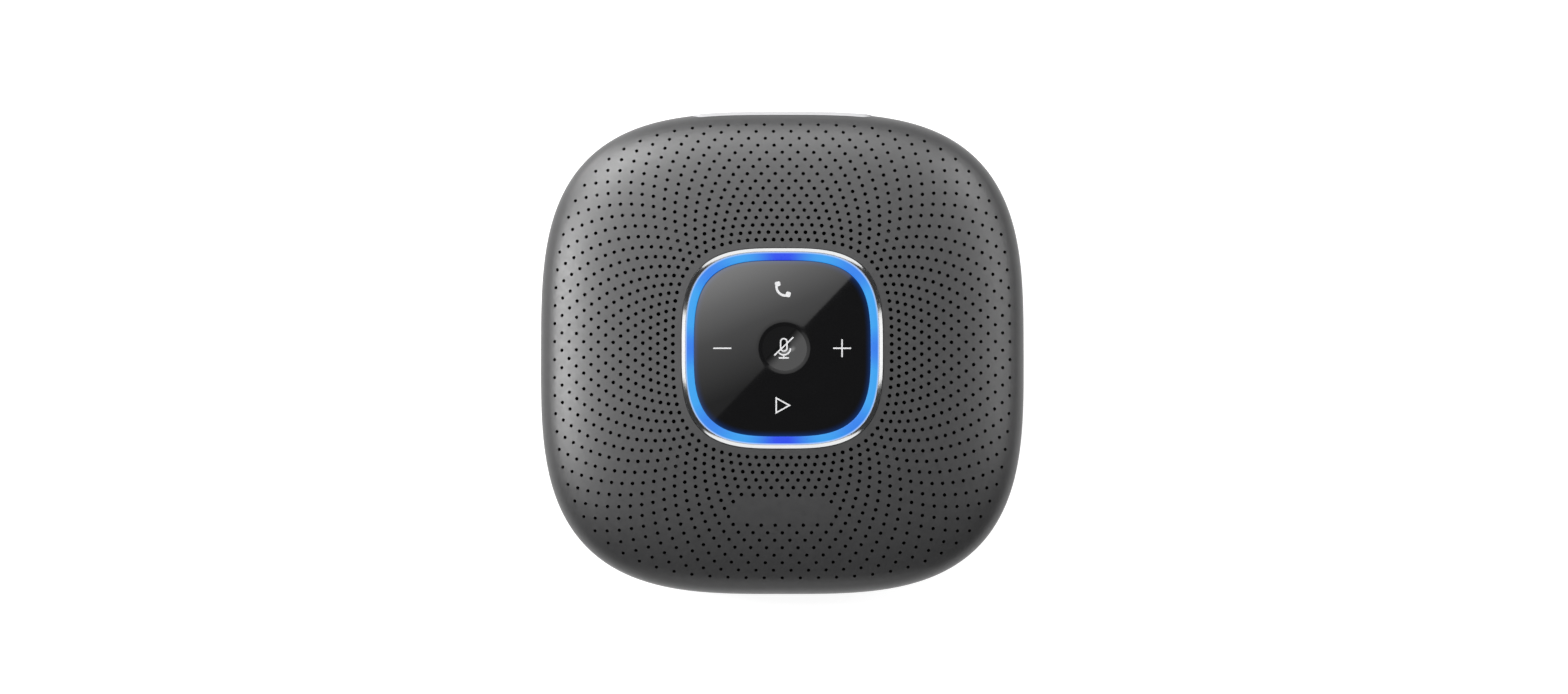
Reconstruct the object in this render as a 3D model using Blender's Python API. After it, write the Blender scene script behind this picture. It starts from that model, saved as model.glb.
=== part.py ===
"""Conference speakerphone: a flat desk unit with a squircle outline, as an assembly of separate pieces.

Run it with  blender --background --python part.py  or from Blender's text editor.
+Z is up, the port side faces +Y, and the origin is on the table under the centre. Lengths are written
in millimetres, and mesh_object() stores them in metres.
"""

import math

import bmesh
import bpy
import numpy as np

MM = 0.001

# Driving dimensions of the body.
HALF_WIDTH = 61.0
SQUIRCLE = 3.24  # exponent of the outline |x|^n + |y|^n = a^n, shared by every squircle in the unit
EQUATOR_Z = 17.0  # height of the widest section
CROWN = 13.0  # rise of the dome above the equator
CROWN_POWER = 2.5
WALL = 1.8
BASE_HALF = 47.0  # half width of the flat underside
BASE_Z = 1.2
BOWL_POWER = 2.2
FLOOR_Z = 3.4  # inside floor
SEAM_Z = 15.0
SEAM_GAP = 0.4
FIT = 0.3  # clearance between neighbours that touch on the real unit

# The four screws, the bosses they pass and the pillars that they hold down.
BOSS_AT = 28.0
BOSS_RADIUS = 3.9
BOSS_BORE = 1.5
BOSS_TOP = 14.1
PILLAR_RADIUS = 2.9
PILLAR_BORE = 1.4
PILLAR_LOW = 14.5
PILLAR_HIGH = 27.4  # inside the dome's wall
SCREW_SHAFT = 1.15
SCREW_HEAD = 2.5
SCREW_LOW = 2.2
SCREW_NECK = 4.5
SCREW_TIP = 20.5

# Underside: a foot ring round a plate that hides the screws.
FOOT_OUTER = 45.4
FOOT_INNER = 40.2
PLATE_HALF = 39.6
RECESS_Z = 2.0

# Control panel in the middle of the dome: half widths of its squircles, and heights.
BEZEL_HALF = 25.5
BEZEL_BORE = 24.45
BEZEL_TOP = 30.0
LIGHT_HALF = 24.2
LIGHT_BORE = 22.35
LIGHT_TOP = 29.65
LENS_HALF = 22.05
LENS_TOP = 29.6
LENS_BASE = 26.4
DISH_RADIUS = 6.45
DISH_DEPTH = 0.65
BOARD_HALF = 24.1
TOUCH_BOARD_Z = 24.9
TOUCH_BOARD_TOP = 26.1
CARRIER_Z = 23.2
CARRIER_TOP = 24.4
CARRIER_HALF = 28.4

# Port panel on the rear, and the rubber port cover on the right.
PANEL_HALF_WIDTH = 23.0
PANEL_LOW = 9.3
PANEL_HIGH = 20.3
PANEL_CORNER = 3.6
PANEL_FRAME = 0.9
PORT_Z = 14.3
POWER_X = 15.5
BLUETOOTH_X = 7.0
USB_C_X = -11.0
BUTTON_RADIUS = 3.0
BUTTON_FACE_Y = 60.95
BUTTON_STEM_Y = 55.0  # back end of the stem, against the switch's plunger
SWITCH_Y = 53.4  # front face of the switches behind the keys
PLUNGER_RADIUS = 0.9
FLAP_HALF_WIDTH = 12.5
FLAP_LOW = 4.9
FLAP_HIGH = 12.3
FLAP_THICKNESS = 1.6
USB_A_Y = -4.0
AUX_Y = 7.6

# Inside.
MAIN_BOARD_Z = 11.4
MAIN_BOARD_TOP = 12.6
CELL_RADIUS = 9.2
CELL_HALF_LENGTH = 32.5
CELL_OFFSET = 42.0
CELL_Z = 13.0
CHAMBER_HALF = 23.5
CHAMBER_Z = 3.7
CHAMBER_TOP = 18.9
MIC_ANGLES = (30, 90, 150, 210, 270, 330)
MIC_Z = 13.4
MIC_HOLE = 0.6
MIC_FACE_HALF = 57.5  # half width of the squircle that the microphone boots stand on
SPEAKER_FLANGE = 20.4
MAGNET_RADIUS = 13.8

# Points round each kind of outline.
BODY_SIDES = 56
PANEL_SIDES = 48
ROUND_SIDES = 32
SMALL_SIDES = 16
TINY_SIDES = 12


# ---------------------------------------------------------------- outlines


def unit_squircle(count):
    """Points of a squircle of half width 1, evenly spaced along it from (1, 0)."""
    angle = np.linspace(0, 2 * math.pi, 8193)
    c, s = np.cos(angle), np.sin(angle)
    x = np.sign(c) * np.abs(c) ** (2 / SQUIRCLE)
    y = np.sign(s) * np.abs(s) ** (2 / SQUIRCLE)
    length = np.concatenate([[0], np.cumsum(np.hypot(np.diff(x), np.diff(y)))])
    at = np.arange(count) / count * length[-1]
    return [(float(u), float(v)) for u, v in zip(np.interp(at, length, x), np.interp(at, length, y))]


def unit_circle(count):
    return [(math.cos(a), math.sin(a)) for a in np.arange(count) / count * 2 * math.pi]


def unit_hexagon(count):
    """A hexagon across corners 2, with count points, a multiple of 6, spread over its sides."""
    corners = unit_circle(6)
    per_side = count // 6
    points = []
    for k in range(6):
        (ax, ay), (bx, by) = corners[k], corners[(k + 1) % 6]
        points += [(ax + (bx - ax) * i / per_side, ay + (by - ay) * i / per_side) for i in range(per_side)]
    return points


def rounded_rectangle(half_u, half_v, radius, steps=5):
    """Outline centred on 0, with arcs of this many steps at its corners."""
    points = []
    for k, (su, sv) in enumerate(((1, 1), (-1, 1), (-1, -1), (1, -1))):
        for i in range(steps + 1):
            a = math.radians(90 * k + 90 * i / steps)
            u = su * (half_u - radius) + radius * math.cos(a)
            v = sv * (half_v - radius) + radius * math.sin(a)
            points.append((u, v))
    return points


def on_squircle(half_width, degrees):
    """(x, y, direction of the outward normal in radians) where a ray at this angle meets the squircle."""
    c, s = math.cos(math.radians(degrees)), math.sin(math.radians(degrees))
    reach = half_width / (abs(c) ** SQUIRCLE + abs(s) ** SQUIRCLE) ** (1 / SQUIRCLE)
    x, y = reach * c, reach * s
    nx = math.copysign(abs(x) ** (SQUIRCLE - 1), x)
    ny = math.copysign(abs(y) ** (SQUIRCLE - 1), y)
    return x, y, math.atan2(ny, nx)


# ---------------------------------------------------------------- profiles of the body


def dome_profile(half_width, crown, inner, steps):
    """(half width, z) down the dome, from the squircle of half width inner to the equator."""
    start = math.asin((inner / half_width) ** (CROWN_POWER / 2))
    points = []
    for k in range(steps + 1):
        a = start + (math.pi / 2 - start) * k / steps
        rise = crown * max(math.cos(a), 0) ** (2 / CROWN_POWER)
        points.append((half_width * math.sin(a) ** (2 / CROWN_POWER), EQUATOR_Z + rise))
    return points


def bowl_half(z, half_width=HALF_WIDTH, base=BASE_HALF, base_z=BASE_Z):
    """Half width of the bowl-shaped lower body at height z."""
    drop = (EQUATOR_Z - z) / (EQUATOR_Z - base_z)
    return base + (half_width - base) * (1 - drop**BOWL_POWER) ** (1 / BOWL_POWER)


def bowl_profile(top_z, half_width, base, base_z, steps):
    """(half width, z) down the bowl, from height top_z to its flat base."""
    start = math.asin(((EQUATOR_Z - top_z) / (EQUATOR_Z - base_z)) ** (BOWL_POWER / 2))
    points = []
    for k in range(steps + 1):
        a = start + (math.pi / 2 - start) * k / steps
        out = (half_width - base) * max(math.cos(a), 0) ** (2 / BOWL_POWER)
        points.append((base + out, EQUATOR_Z - (EQUATOR_Z - base_z) * math.sin(a) ** (2 / BOWL_POWER)))
    return points


# ---------------------------------------------------------------- building blocks


def material(name, colour, roughness, metallic=0.0):
    made = bpy.data.materials.new(name)
    made.use_nodes = True
    shader = made.node_tree.nodes["Principled BSDF"]
    shader.inputs["Base Color"].default_value = (*colour, 1)
    shader.inputs["Roughness"].default_value = roughness
    shader.inputs["Metallic"].default_value = metallic
    made.diffuse_color = (*colour, 1)
    return made


def mesh_object(name, points, faces, finish=None, origin=(0, 0, 0)):
    """An object from points in millimetres, with its own origin there too and its faces turned out."""
    mesh = bpy.data.meshes.new(name)
    mesh.from_pydata([[(p - o) * MM for p, o in zip(point, origin)] for point in points], [], faces)
    work = bmesh.new()
    work.from_mesh(mesh)
    bmesh.ops.recalc_face_normals(work, faces=work.faces)
    work.to_mesh(mesh)
    work.free()
    mesh.shade_smooth()
    mesh.set_sharp_from_angle(angle=math.radians(35))
    if finish:
        mesh.materials.append(finish)
    made = bpy.data.objects.new(name, mesh)
    made.location = [o * MM for o in origin]
    bpy.context.scene.collection.objects.link(made)
    return made


def ring(outline, radius, z):
    """The outline at this size and height. At radius 0 it is one point."""
    return [(0.0, 0.0, z)] if radius == 0 else [(u * radius, v * radius, z) for u, v in outline]


def skin(name, rings, finish=None, closed=False, origin=(0, 0, 0)):
    """A solid with faces between neighbouring rings. Its ends are capped, unless closed joins them."""
    points, starts = [], []
    for one in rings:
        starts.append(len(points))
        points += one
    pairs = list(zip(range(len(rings)), range(1, len(rings))))
    if closed:
        pairs.append((len(rings) - 1, 0))
    faces = []
    for a, b in pairs:
        count = max(len(rings[a]), len(rings[b]))
        for i in range(count):
            j = (i + 1) % count
            if len(rings[a]) == 1:
                faces.append((starts[a], starts[b] + j, starts[b] + i))
            elif len(rings[b]) == 1:
                faces.append((starts[a] + i, starts[a] + j, starts[b]))
            else:
                faces.append((starts[a] + i, starts[a] + j, starts[b] + j, starts[b] + i))
    if not closed:
        for end in (0, len(rings) - 1):
            if len(rings[end]) > 2:
                faces.append([starts[end] + i for i in range(len(rings[end]))])
    return mesh_object(name, points, faces, finish, origin)


def turned(name, outline, profile, finish=None, closed=False):
    """A solid from one outline scaled to each (size, z) of the profile."""
    return skin(name, [ring(outline, size, z) for size, z in profile], finish, closed)


def prism(name, outline, axis, low, high, finish=None, centre=(0, 0), origin=(0, 0, 0)):
    """The outline, in the plane across the axis, extruded from low to high along it."""

    def place(u, v, along):
        u, v = u + centre[0], v + centre[1]
        return {"X": (along, u, v), "Y": (u, along, v), "Z": (u, v, along)}[axis]

    rings = [[place(u, v, along) for u, v in outline] for along in (low, high)]
    return skin(name, rings, finish, origin=origin)


def cylinder(name, radius, axis, low, high, centre=(0, 0), sides=SMALL_SIDES, finish=None):
    outline = [(u * radius, v * radius) for u, v in unit_circle(sides)]
    return prism(name, outline, axis, low, high, finish, centre)


def box(name, low, high, finish=None):
    corners = [(low[0], low[1]), (high[0], low[1]), (high[0], high[1]), (low[0], high[1])]
    return prism(name, corners, "Z", low[2], high[2], finish)


def combine(target, operation, tool):
    """Keeps a Boolean of the tool on the target, and leaves the tool out of the assembly."""
    modifier = target.modifiers.new(f"{operation.lower()} {tool.name}", "BOOLEAN")
    modifier.operation = operation
    modifier.object = tool
    tool.hide_render = True
    tool.display_type = "WIRE"
    return target


def cut(target, tool):
    return combine(target, "DIFFERENCE", tool)


def add(target, tool):
    return combine(target, "UNION", tool)


def keep_inside(target, tool):
    return combine(target, "INTERSECT", tool)


# ---------------------------------------------------------------- the two housings


def rear_opening(name, grow):
    """The rounded rectangle of the port panel, grown by a margin, through the rear wall."""
    outline = rounded_rectangle(
        PANEL_HALF_WIDTH + grow, (PANEL_HIGH - PANEL_LOW) / 2 + grow, PANEL_CORNER + grow
    )
    return prism(name, outline, "Y", 52, 66, centre=(0, (PANEL_LOW + PANEL_HIGH) / 2))


def flap_opening(name, grow, low=45, high=66):
    """The rounded rectangle of the side port cover, grown by a margin, through the right wall."""
    outline = rounded_rectangle(FLAP_HALF_WIDTH + grow, (FLAP_HIGH - FLAP_LOW) / 2 + grow, 2 + grow)
    return prism(name, outline, "X", low, high, centre=(0, (FLAP_LOW + FLAP_HIGH) / 2))


def boss_places():
    return [(x, y) for x in (-BOSS_AT, BOSS_AT) for y in (-BOSS_AT, BOSS_AT)]


def upper_housing(finish):
    """The domed shell, with the panel's opening in the middle and four screw pillars inside."""
    squircle = unit_squircle(BODY_SIDES)
    opening = BEZEL_HALF + FIT
    rim_z = SEAM_Z + SEAM_GAP / 2
    outer = dome_profile(HALF_WIDTH, CROWN, opening, 7)
    inner = dome_profile(HALF_WIDTH - WALL, CROWN - WALL, opening, 5)
    rim = [(bowl_half(rim_z), rim_z), (HALF_WIDTH - WALL, rim_z)]
    shell = turned("upper_housing", squircle, outer + rim + inner[::-1], finish, closed=True)
    for k, place in enumerate(boss_places()):
        add(shell, cylinder(f"pillar_{k}", PILLAR_RADIUS, "Z", PILLAR_LOW, PILLAR_HIGH, place))
        low, high = PILLAR_LOW - 0.5, SCREW_TIP + 2.5
        cut(shell, cylinder(f"pillar_bore_{k}", PILLAR_BORE, "Z", low, high, place, TINY_SIDES))
    cut(shell, rear_opening("rear_notch_upper", FIT))
    return shell


def lower_housing(finish):
    """The bowl, with its seam lip, screw bosses, microphone holes and the two port openings."""
    squircle = unit_squircle(BODY_SIDES)
    seam = SEAM_Z - SEAM_GAP / 2
    recess = FOOT_OUTER + 0.4
    under = [(recess, RECESS_Z), (recess, BASE_Z)]
    outer = bowl_profile(seam, HALF_WIDTH, BASE_HALF, BASE_Z, 6)[::-1]
    lip = [(58.9, seam), (58.9, seam + 1.7), (58.0, seam + 1.7), (58.0, seam - 0.6)]
    inner = bowl_profile(seam - 1.4, HALF_WIDTH - WALL, BASE_HALF - WALL, FLOOR_Z, 5)
    shell = turned("lower_housing", squircle, under + outer + lip + inner, finish)
    for k, place in enumerate(boss_places()):
        add(shell, cylinder(f"boss_{k}", BOSS_RADIUS, "Z", FLOOR_Z - 0.5, BOSS_TOP, place))
        cut(shell, cylinder(f"head_seat_{k}", SCREW_HEAD + FIT, "Z", 1, SCREW_NECK + FIT, place))
        cut(shell, cylinder(f"boss_bore_{k}", BOSS_BORE, "Z", 1, BOSS_TOP + 1, place, TINY_SIDES))
    for k, degrees in enumerate(MIC_ANGLES):
        if degrees == 90:
            continue  # that microphone listens through the port panel
        x, y, heading = on_squircle(HALF_WIDTH, degrees)
        hole = cylinder(f"mic_hole_{k}", MIC_HOLE, "X", -4, 3, sides=8)
        hole.location = (x * MM, y * MM, MIC_Z * MM)
        hole.rotation_euler = (0, 0, heading)
        cut(shell, hole)
    cut(shell, rear_opening("rear_notch_lower", FIT))
    cut(shell, flap_opening("side_notch", FIT))
    return shell


def grille_cloth(finish):
    """The sound-through lining under the perforated dome, with holes for the four pillars."""
    step = WALL + 2 * FIT
    outer = dome_profile(HALF_WIDTH - step, CROWN - step, 29.6, 6)[:-1]
    inner = dome_profile(HALF_WIDTH - step - 0.4, CROWN - step - 0.4, 29.6, 6)[:-1]
    cloth = turned("grille_cloth", unit_squircle(BODY_SIDES), outer + inner[::-1], finish, closed=True)
    for k, place in enumerate(boss_places()):
        cut(cloth, cylinder(f"cloth_hole_{k}", PILLAR_RADIUS + 0.5, "Z", 17, 31, place))
    return cloth


def underside(rubber, finish, steel):
    """The rubber foot ring, the plate inside it and the four screws that the plate hides."""
    top, chamfer = RECESS_Z - 0.2, 0.4
    foot = [(FOOT_INNER, top), (FOOT_INNER, chamfer), (FOOT_INNER + chamfer, 0)]
    foot += [(FOOT_OUTER - chamfer, 0), (FOOT_OUTER, chamfer), (FOOT_OUTER, top)]
    turned("foot_ring", unit_squircle(BODY_SIDES), foot, rubber, closed=True)
    plate = [(PLATE_HALF, top), (PLATE_HALF, BASE_Z + 0.15), (PLATE_HALF - 0.2, BASE_Z - 0.05)]
    turned("base_plate", unit_squircle(PANEL_SIDES), plate, finish)
    hexagon, circle, key_size = unit_hexagon(TINY_SIDES), unit_circle(TINY_SIDES), 1.3
    rings = [ring(hexagon, key_size, SCREW_LOW + 1.2), ring(hexagon, key_size, SCREW_LOW)]
    rings += [ring(circle, SCREW_HEAD - 0.3, SCREW_LOW), ring(circle, SCREW_HEAD, SCREW_LOW + 0.3)]
    rings += [ring(circle, SCREW_HEAD, SCREW_NECK), ring(circle, SCREW_SHAFT, SCREW_NECK)]
    rings += [ring(circle, SCREW_SHAFT, SCREW_TIP - 0.8), ring(circle, 0.5, SCREW_TIP)]
    first = skin("housing_screw_1", rings, steel)
    for k, (x, y) in enumerate(boss_places()):
        screw = first if k == 0 else bpy.data.objects.new(f"housing_screw_{k + 1}", first.data)
        screw.location = (x * MM, y * MM, 0)
        if k:
            bpy.context.scene.collection.objects.link(screw)


# ---------------------------------------------------------------- the control panel


def control_panel(chrome, diffuser, gloss, board, led, finish):
    """Bezel, light ring, dished touch lens, the board with its ring of lamps, and the tray under them."""
    squircle, circle = unit_squircle(PANEL_SIDES), unit_circle(PANEL_SIDES)
    mid = (BEZEL_HALF + BEZEL_BORE) / 2
    bezel = [(BEZEL_BORE, 24.7), (BEZEL_HALF, 24.7), (BEZEL_HALF, BEZEL_TOP - 0.5)]
    bezel += [(BEZEL_HALF - 0.2, BEZEL_TOP - 0.12), (mid, BEZEL_TOP)]
    bezel += [(BEZEL_BORE + 0.2, BEZEL_TOP - 0.12), (BEZEL_BORE, BEZEL_TOP - 0.4)]
    turned("panel_bezel", squircle, bezel, chrome, closed=True)

    light = [(LIGHT_BORE, 27.1), (LIGHT_HALF, 27.1), (LIGHT_HALF, LIGHT_TOP), (LIGHT_BORE, LIGHT_TOP)]
    turned("light_ring", squircle, light, diffuser, closed=True)

    lens = [ring(squircle, LENS_HALF, LENS_BASE), ring(squircle, LENS_HALF, LENS_TOP - 0.25)]
    lens.append(ring(squircle, LENS_HALF - 0.25, LENS_TOP))
    lens.append(ring(circle, DISH_RADIUS + 0.5, LENS_TOP))
    for share in (0.93, 0.72, 0.4):
        lens.append(ring(circle, DISH_RADIUS * share, LENS_TOP - DISH_DEPTH * (1 - share**2)))
    skin("control_lens", lens, gloss)

    turned("touch_board", squircle, [(BOARD_HALF, TOUCH_BOARD_Z), (BOARD_HALF, TOUCH_BOARD_TOP)], board)
    for k in range(8):
        x, y, heading = on_squircle((LIGHT_HALF + LIGHT_BORE) / 2, 45 * k)
        lamp = box(f"ring_led_{k + 1}", (-0.7, -0.8, 0), (0.7, 0.8, 0.7), led)
        lamp.location = (x * MM, y * MM, (TOUCH_BOARD_TOP + 0.1) * MM)
        lamp.rotation_euler = (0, 0, heading)

    plate = [(CARRIER_HALF, CARRIER_Z), (CARRIER_HALF, CARRIER_TOP)]
    tray = turned("panel_carrier", squircle, plate, finish)
    for k, degrees in enumerate((45, 135, 225, 315)):
        x, y, _ = on_squircle(CARRIER_HALF - 1, degrees)
        add(tray, cylinder(f"carrier_post_{k}", 1, "Z", CARRIER_TOP - 0.4, 26.8, (x, y), TINY_SIDES))
    cut(tray, box("ribbon_slot", (-3.6, 20.6, 22), (3.6, 22.6, 26)))


def ribbon_cable(finish):
    """The flat cable from the touch board, through the tray and down to the main board."""
    line = [(16.0, 24.6), (21.0, 24.6), (21.6, 24.2), (21.8, 22.8), (22.6, 22.2), (24.0, 21.6)]
    line += [(24.4, 20.6), (24.4, 14.4), (24.8, 13.4), (25.8, 13.0), (28.6, 13.0)]
    half = 0.1
    lower, upper = [], []
    for k, (y, z) in enumerate(line):
        ay, az = line[max(k - 1, 0)]
        by, bz = line[min(k + 1, len(line) - 1)]
        size = math.hypot(by - ay, bz - az)
        ny, nz = -(bz - az) / size * half, (by - ay) / size * half
        lower.append((y - ny, z - nz))
        upper.append((y + ny, z + nz))
    outline = lower + upper[::-1]
    prism("ribbon_cable", outline, "X", -3, 3, finish)


# ---------------------------------------------------------------- the port panel and its buttons


def wall_ring(name, outer, inner, low, high, finish=None):
    """A vertical wall between two squircles."""
    profile = [(outer, low), (outer, high), (inner, high), (inner, low)]
    return turned(name, unit_squircle(BODY_SIDES), profile, finish, closed=True)


def port_panel(trim_finish, finish):
    """The bright frame and the dark insert that carry the buttons and the USB-C socket."""
    trim = wall_ring("rear_port_trim", HALF_WIDTH, 58.6, 8, 22, trim_finish)
    keep_inside(trim, rear_opening("trim_outline", 0))
    cut(trim, rear_opening("trim_window", -PANEL_FRAME))
    panel = wall_ring("rear_port_panel", HALF_WIDTH - 0.4, 58.2, 8, 22, finish)
    keep_inside(panel, rear_opening("panel_outline", -PANEL_FRAME - 0.2))
    for name, x in (("power_hole", POWER_X), ("bluetooth_hole", BLUETOOTH_X)):
        cut(panel, cylinder(name, BUTTON_RADIUS + 0.25, "Y", 52, 66, (x, PORT_Z), ROUND_SIDES))
    slot = rounded_rectangle(4.75, 1.85, 1.8, 4)
    cut(panel, prism("usb_c_slot", slot, "Y", 52, 66, centre=(USB_C_X, PORT_Z)))
    cut(panel, cylinder("panel_mic_hole", MIC_HOLE, "Y", 52, 66, (0, MIC_Z), 8))


def push_button(name, x, finish):
    """A round key with a retaining flange and a stem, its origin on its axis at the front face."""
    circle, flange = unit_circle(20), BUTTON_RADIUS + 0.7
    steps = [(PLUNGER_RADIUS, BUTTON_STEM_Y), (PLUNGER_RADIUS, 56.3), (flange, 56.3)]
    steps += [(flange, 57.2), (BUTTON_RADIUS, 57.2)]
    steps += [(BUTTON_RADIUS, BUTTON_FACE_Y - 0.4), (BUTTON_RADIUS - 0.3, BUTTON_FACE_Y - 0.1)]
    steps += [(1.6, BUTTON_FACE_Y)]
    rings = [[(x + u * r, y, PORT_Z + v * r) for u, v in circle] for r, y in steps]
    skin(name, rings, finish, origin=(x, BUTTON_FACE_Y, PORT_Z))


def side_push_switch(key, x, steel, finish):
    """A tact switch on the board's rear edge, and the plunger that the key's stem pushes into it."""
    base = MAIN_BOARD_TOP + 0.1
    body = box(f"{key}_switch", (x - 2.6, SWITCH_Y - 2.8, base), (x + 2.6, SWITCH_Y, base + 3.3), steel)
    recess = PLUNGER_RADIUS + FIT
    cut(body, cylinder(f"{key}_recess", recess, "Y", SWITCH_Y - 0.9, 55, (x, PORT_Z), TINY_SIDES))
    outline = [(u * PLUNGER_RADIUS, v * PLUNGER_RADIUS) for u, v in unit_circle(TINY_SIDES)]
    back, front = SWITCH_Y - 0.2, BUTTON_STEM_Y - FIT
    prism(f"{key}_plunger", outline, "Y", back, front, finish, (x, PORT_Z), (x, front, PORT_Z))


# ---------------------------------------------------------------- sockets


def usb_c_receptacle(steel):
    """A formed steel shell with its contact tongue inside."""
    centre = (USB_C_X, PORT_Z)
    shell = prism("usb_c_receptacle", rounded_rectangle(4.47, 1.58, 1.5, 4), "Y", 50.4, 60.2, steel, centre)
    cut(shell, prism("usb_c_bore", rounded_rectangle(4.17, 1.28, 1.2, 4), "Y", 52.4, 62, centre=centre))
    tongue = rounded_rectangle(3.35, 0.35, 0.1, 1)
    add(shell, prism("usb_c_tongue", tongue, "Y", 51.4, 59.2, centre=centre))


def usb_a_receptacle(steel):
    """The power-out socket on the underside of the main board."""
    centre = (USB_A_Y, MAIN_BOARD_Z - 2.95)
    shell = prism("usb_a_receptacle", rounded_rectangle(6.55, 2.85, 0.5, 2), "X", 40.2, 54.1, steel, centre)
    cut(shell, prism("usb_a_bore", rounded_rectangle(6.2, 2.5, 0.3, 2), "X", 41.4, 58, centre=centre))
    tongue = rounded_rectangle(5.55, 0.9, 0.1, 1)
    add(shell, prism("usb_a_tongue", tongue, "X", 40.8, 52.4, centre=(USB_A_Y, centre[1] + 0.9)))


def aux_jack(finish):
    """A 3.5 mm socket: a block with a round nose and a blind bore."""
    centre = (AUX_Y, MAIN_BOARD_Z - 2.8)
    block = prism("aux_jack", rounded_rectangle(2.9, 2.7, 0.3, 1), "X", 42.0, 52.0, finish, centre)
    add(block, cylinder("aux_nose", 2.6, "X", 51.0, 54.1, centre, 20))
    cut(block, cylinder("aux_bore", 1.8, "X", 43.5, 58, centre, 20))


def side_port_plate(finish):
    """The plate behind the rubber cover, with a window for each socket."""
    plate = flap_opening("side_port_plate", -0.1, 52.6, 54.0)
    plate.data.materials.append(finish)
    window = rounded_rectangle(6.85, 3.1, 0.6, 2)
    cut(plate, prism("usb_a_window", window, "X", 50, 57, centre=(USB_A_Y, MAIN_BOARD_Z - 2.95)))
    cut(plate, cylinder("aux_window", 2.85, "X", 50, 57, (AUX_Y, MAIN_BOARD_Z - 2.8), 20))


def port_flap(rubber):
    """The rubber cover over the side sockets. It follows the bowl, and hinges on its lower edge."""
    squircle = unit_squircle(BODY_SIDES)
    heights = [FLAP_LOW - 0.6 + 1.5 * k for k in range(7)]
    outer = [(bowl_half(z), z) for z in heights]
    inner = [(bowl_half(z) - FLAP_THICKNESS, z) for z in heights[::-1]]
    origin = (bowl_half(FLAP_LOW), 0, FLAP_LOW)
    rings = [ring(squircle, size, z) for size, z in outer + inner]
    flap = skin("port_flap", rings, rubber, closed=True, origin=origin)
    keep_inside(flap, flap_opening("flap_outline", 0))
    # Plugs on the back of the cover, which stop short of the sockets.
    usb_plug = rounded_rectangle(5.2, 1.9, 0.4, 2)
    add(flap, prism("flap_usb_plug", usb_plug, "X", 55.2, 58.0, centre=(USB_A_Y, MAIN_BOARD_Z - 2.6)))
    add(flap, cylinder("flap_aux_plug", 1.5, "X", 55.2, 58.0, (AUX_Y, MAIN_BOARD_Z - 2.6), TINY_SIDES))


# ---------------------------------------------------------------- electronics and power


def main_board(board, steel):
    """The L-shaped board behind and beside the speaker, clear of the screw bosses, and its shield can."""
    corner = [(-31, 25), (25, 25), (25, -31), (50.6, -31), (50.6, -26), (52.2, -24)]
    corner += [(52.2, 24), (50.6, 26), (50.6, 54.2), (-31, 54.2)]
    plate = prism("main_board", corner, "Z", MAIN_BOARD_Z, MAIN_BOARD_TOP, board)
    limit = turned("board_limit", unit_squircle(BODY_SIDES), [(54.8, 8), (54.8, 16)])
    keep_inside(plate, limit)
    for k, place in enumerate(boss_places()):
        if max(place) > 0:  # the fourth boss is outside the board
            cut(plate, cylinder(f"board_hole_{k}", BOSS_RADIUS + 0.4, "Z", 8, 16, place))
    base = MAIN_BOARD_TOP + 0.1
    wall, lid = rounded_rectangle(14, 8, 0.8, 2), rounded_rectangle(13.7, 7.7, 0.5, 2)
    rings = [ring(wall, 1, base), ring(wall, 1, base + 1.9), ring(lid, 1, base + 2.2)]
    can = skin("shield_can", rings, steel)
    can.location = (-8 * MM, 38.5 * MM, 0)


def battery(wrap, finish):
    """Two cylindrical cells, at the front and the left, in an L-shaped cradle."""
    cell = [(6.0, -CELL_HALF_LENGTH), (CELL_RADIUS, -CELL_HALF_LENGTH + 0.4)]
    cell += [(CELL_RADIUS, CELL_HALF_LENGTH - 1.2), (CELL_RADIUS - 0.8, CELL_HALF_LENGTH - 0.8)]
    cell += [(3.2, CELL_HALF_LENGTH - 0.8), (3.0, CELL_HALF_LENGTH)]
    front = turned("battery_cell_front", unit_circle(24), cell, wrap)
    front.rotation_euler = (0, math.radians(90), 0)
    front.location = (0, -CELL_OFFSET * MM, CELL_Z * MM)
    left = bpy.data.objects.new("battery_cell_left", front.data)
    left.rotation_euler = (math.radians(90), 0, 0)
    left.location = (-CELL_OFFSET * MM, 0, CELL_Z * MM)
    bpy.context.scene.collection.objects.link(left)

    far, near, end = 38.0, 32.3, 32.0
    corner = [(-far, -far), (end, -far), (end, -near), (-near, -near), (-near, end), (-far, end)]
    cradle = prism("battery_cradle", corner, "Z", FLOOR_Z + 0.4, 9.0, finish)
    for side, axis in (("front", "X"), ("left", "Y")):
        room, reach, centre = CELL_RADIUS + 0.2, CELL_HALF_LENGTH + FIT, (-CELL_OFFSET, CELL_Z)
        cut(cradle, cylinder(f"room_{side}", room, axis, -reach, 40, centre, 24))


# ---------------------------------------------------------------- the speaker


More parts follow.
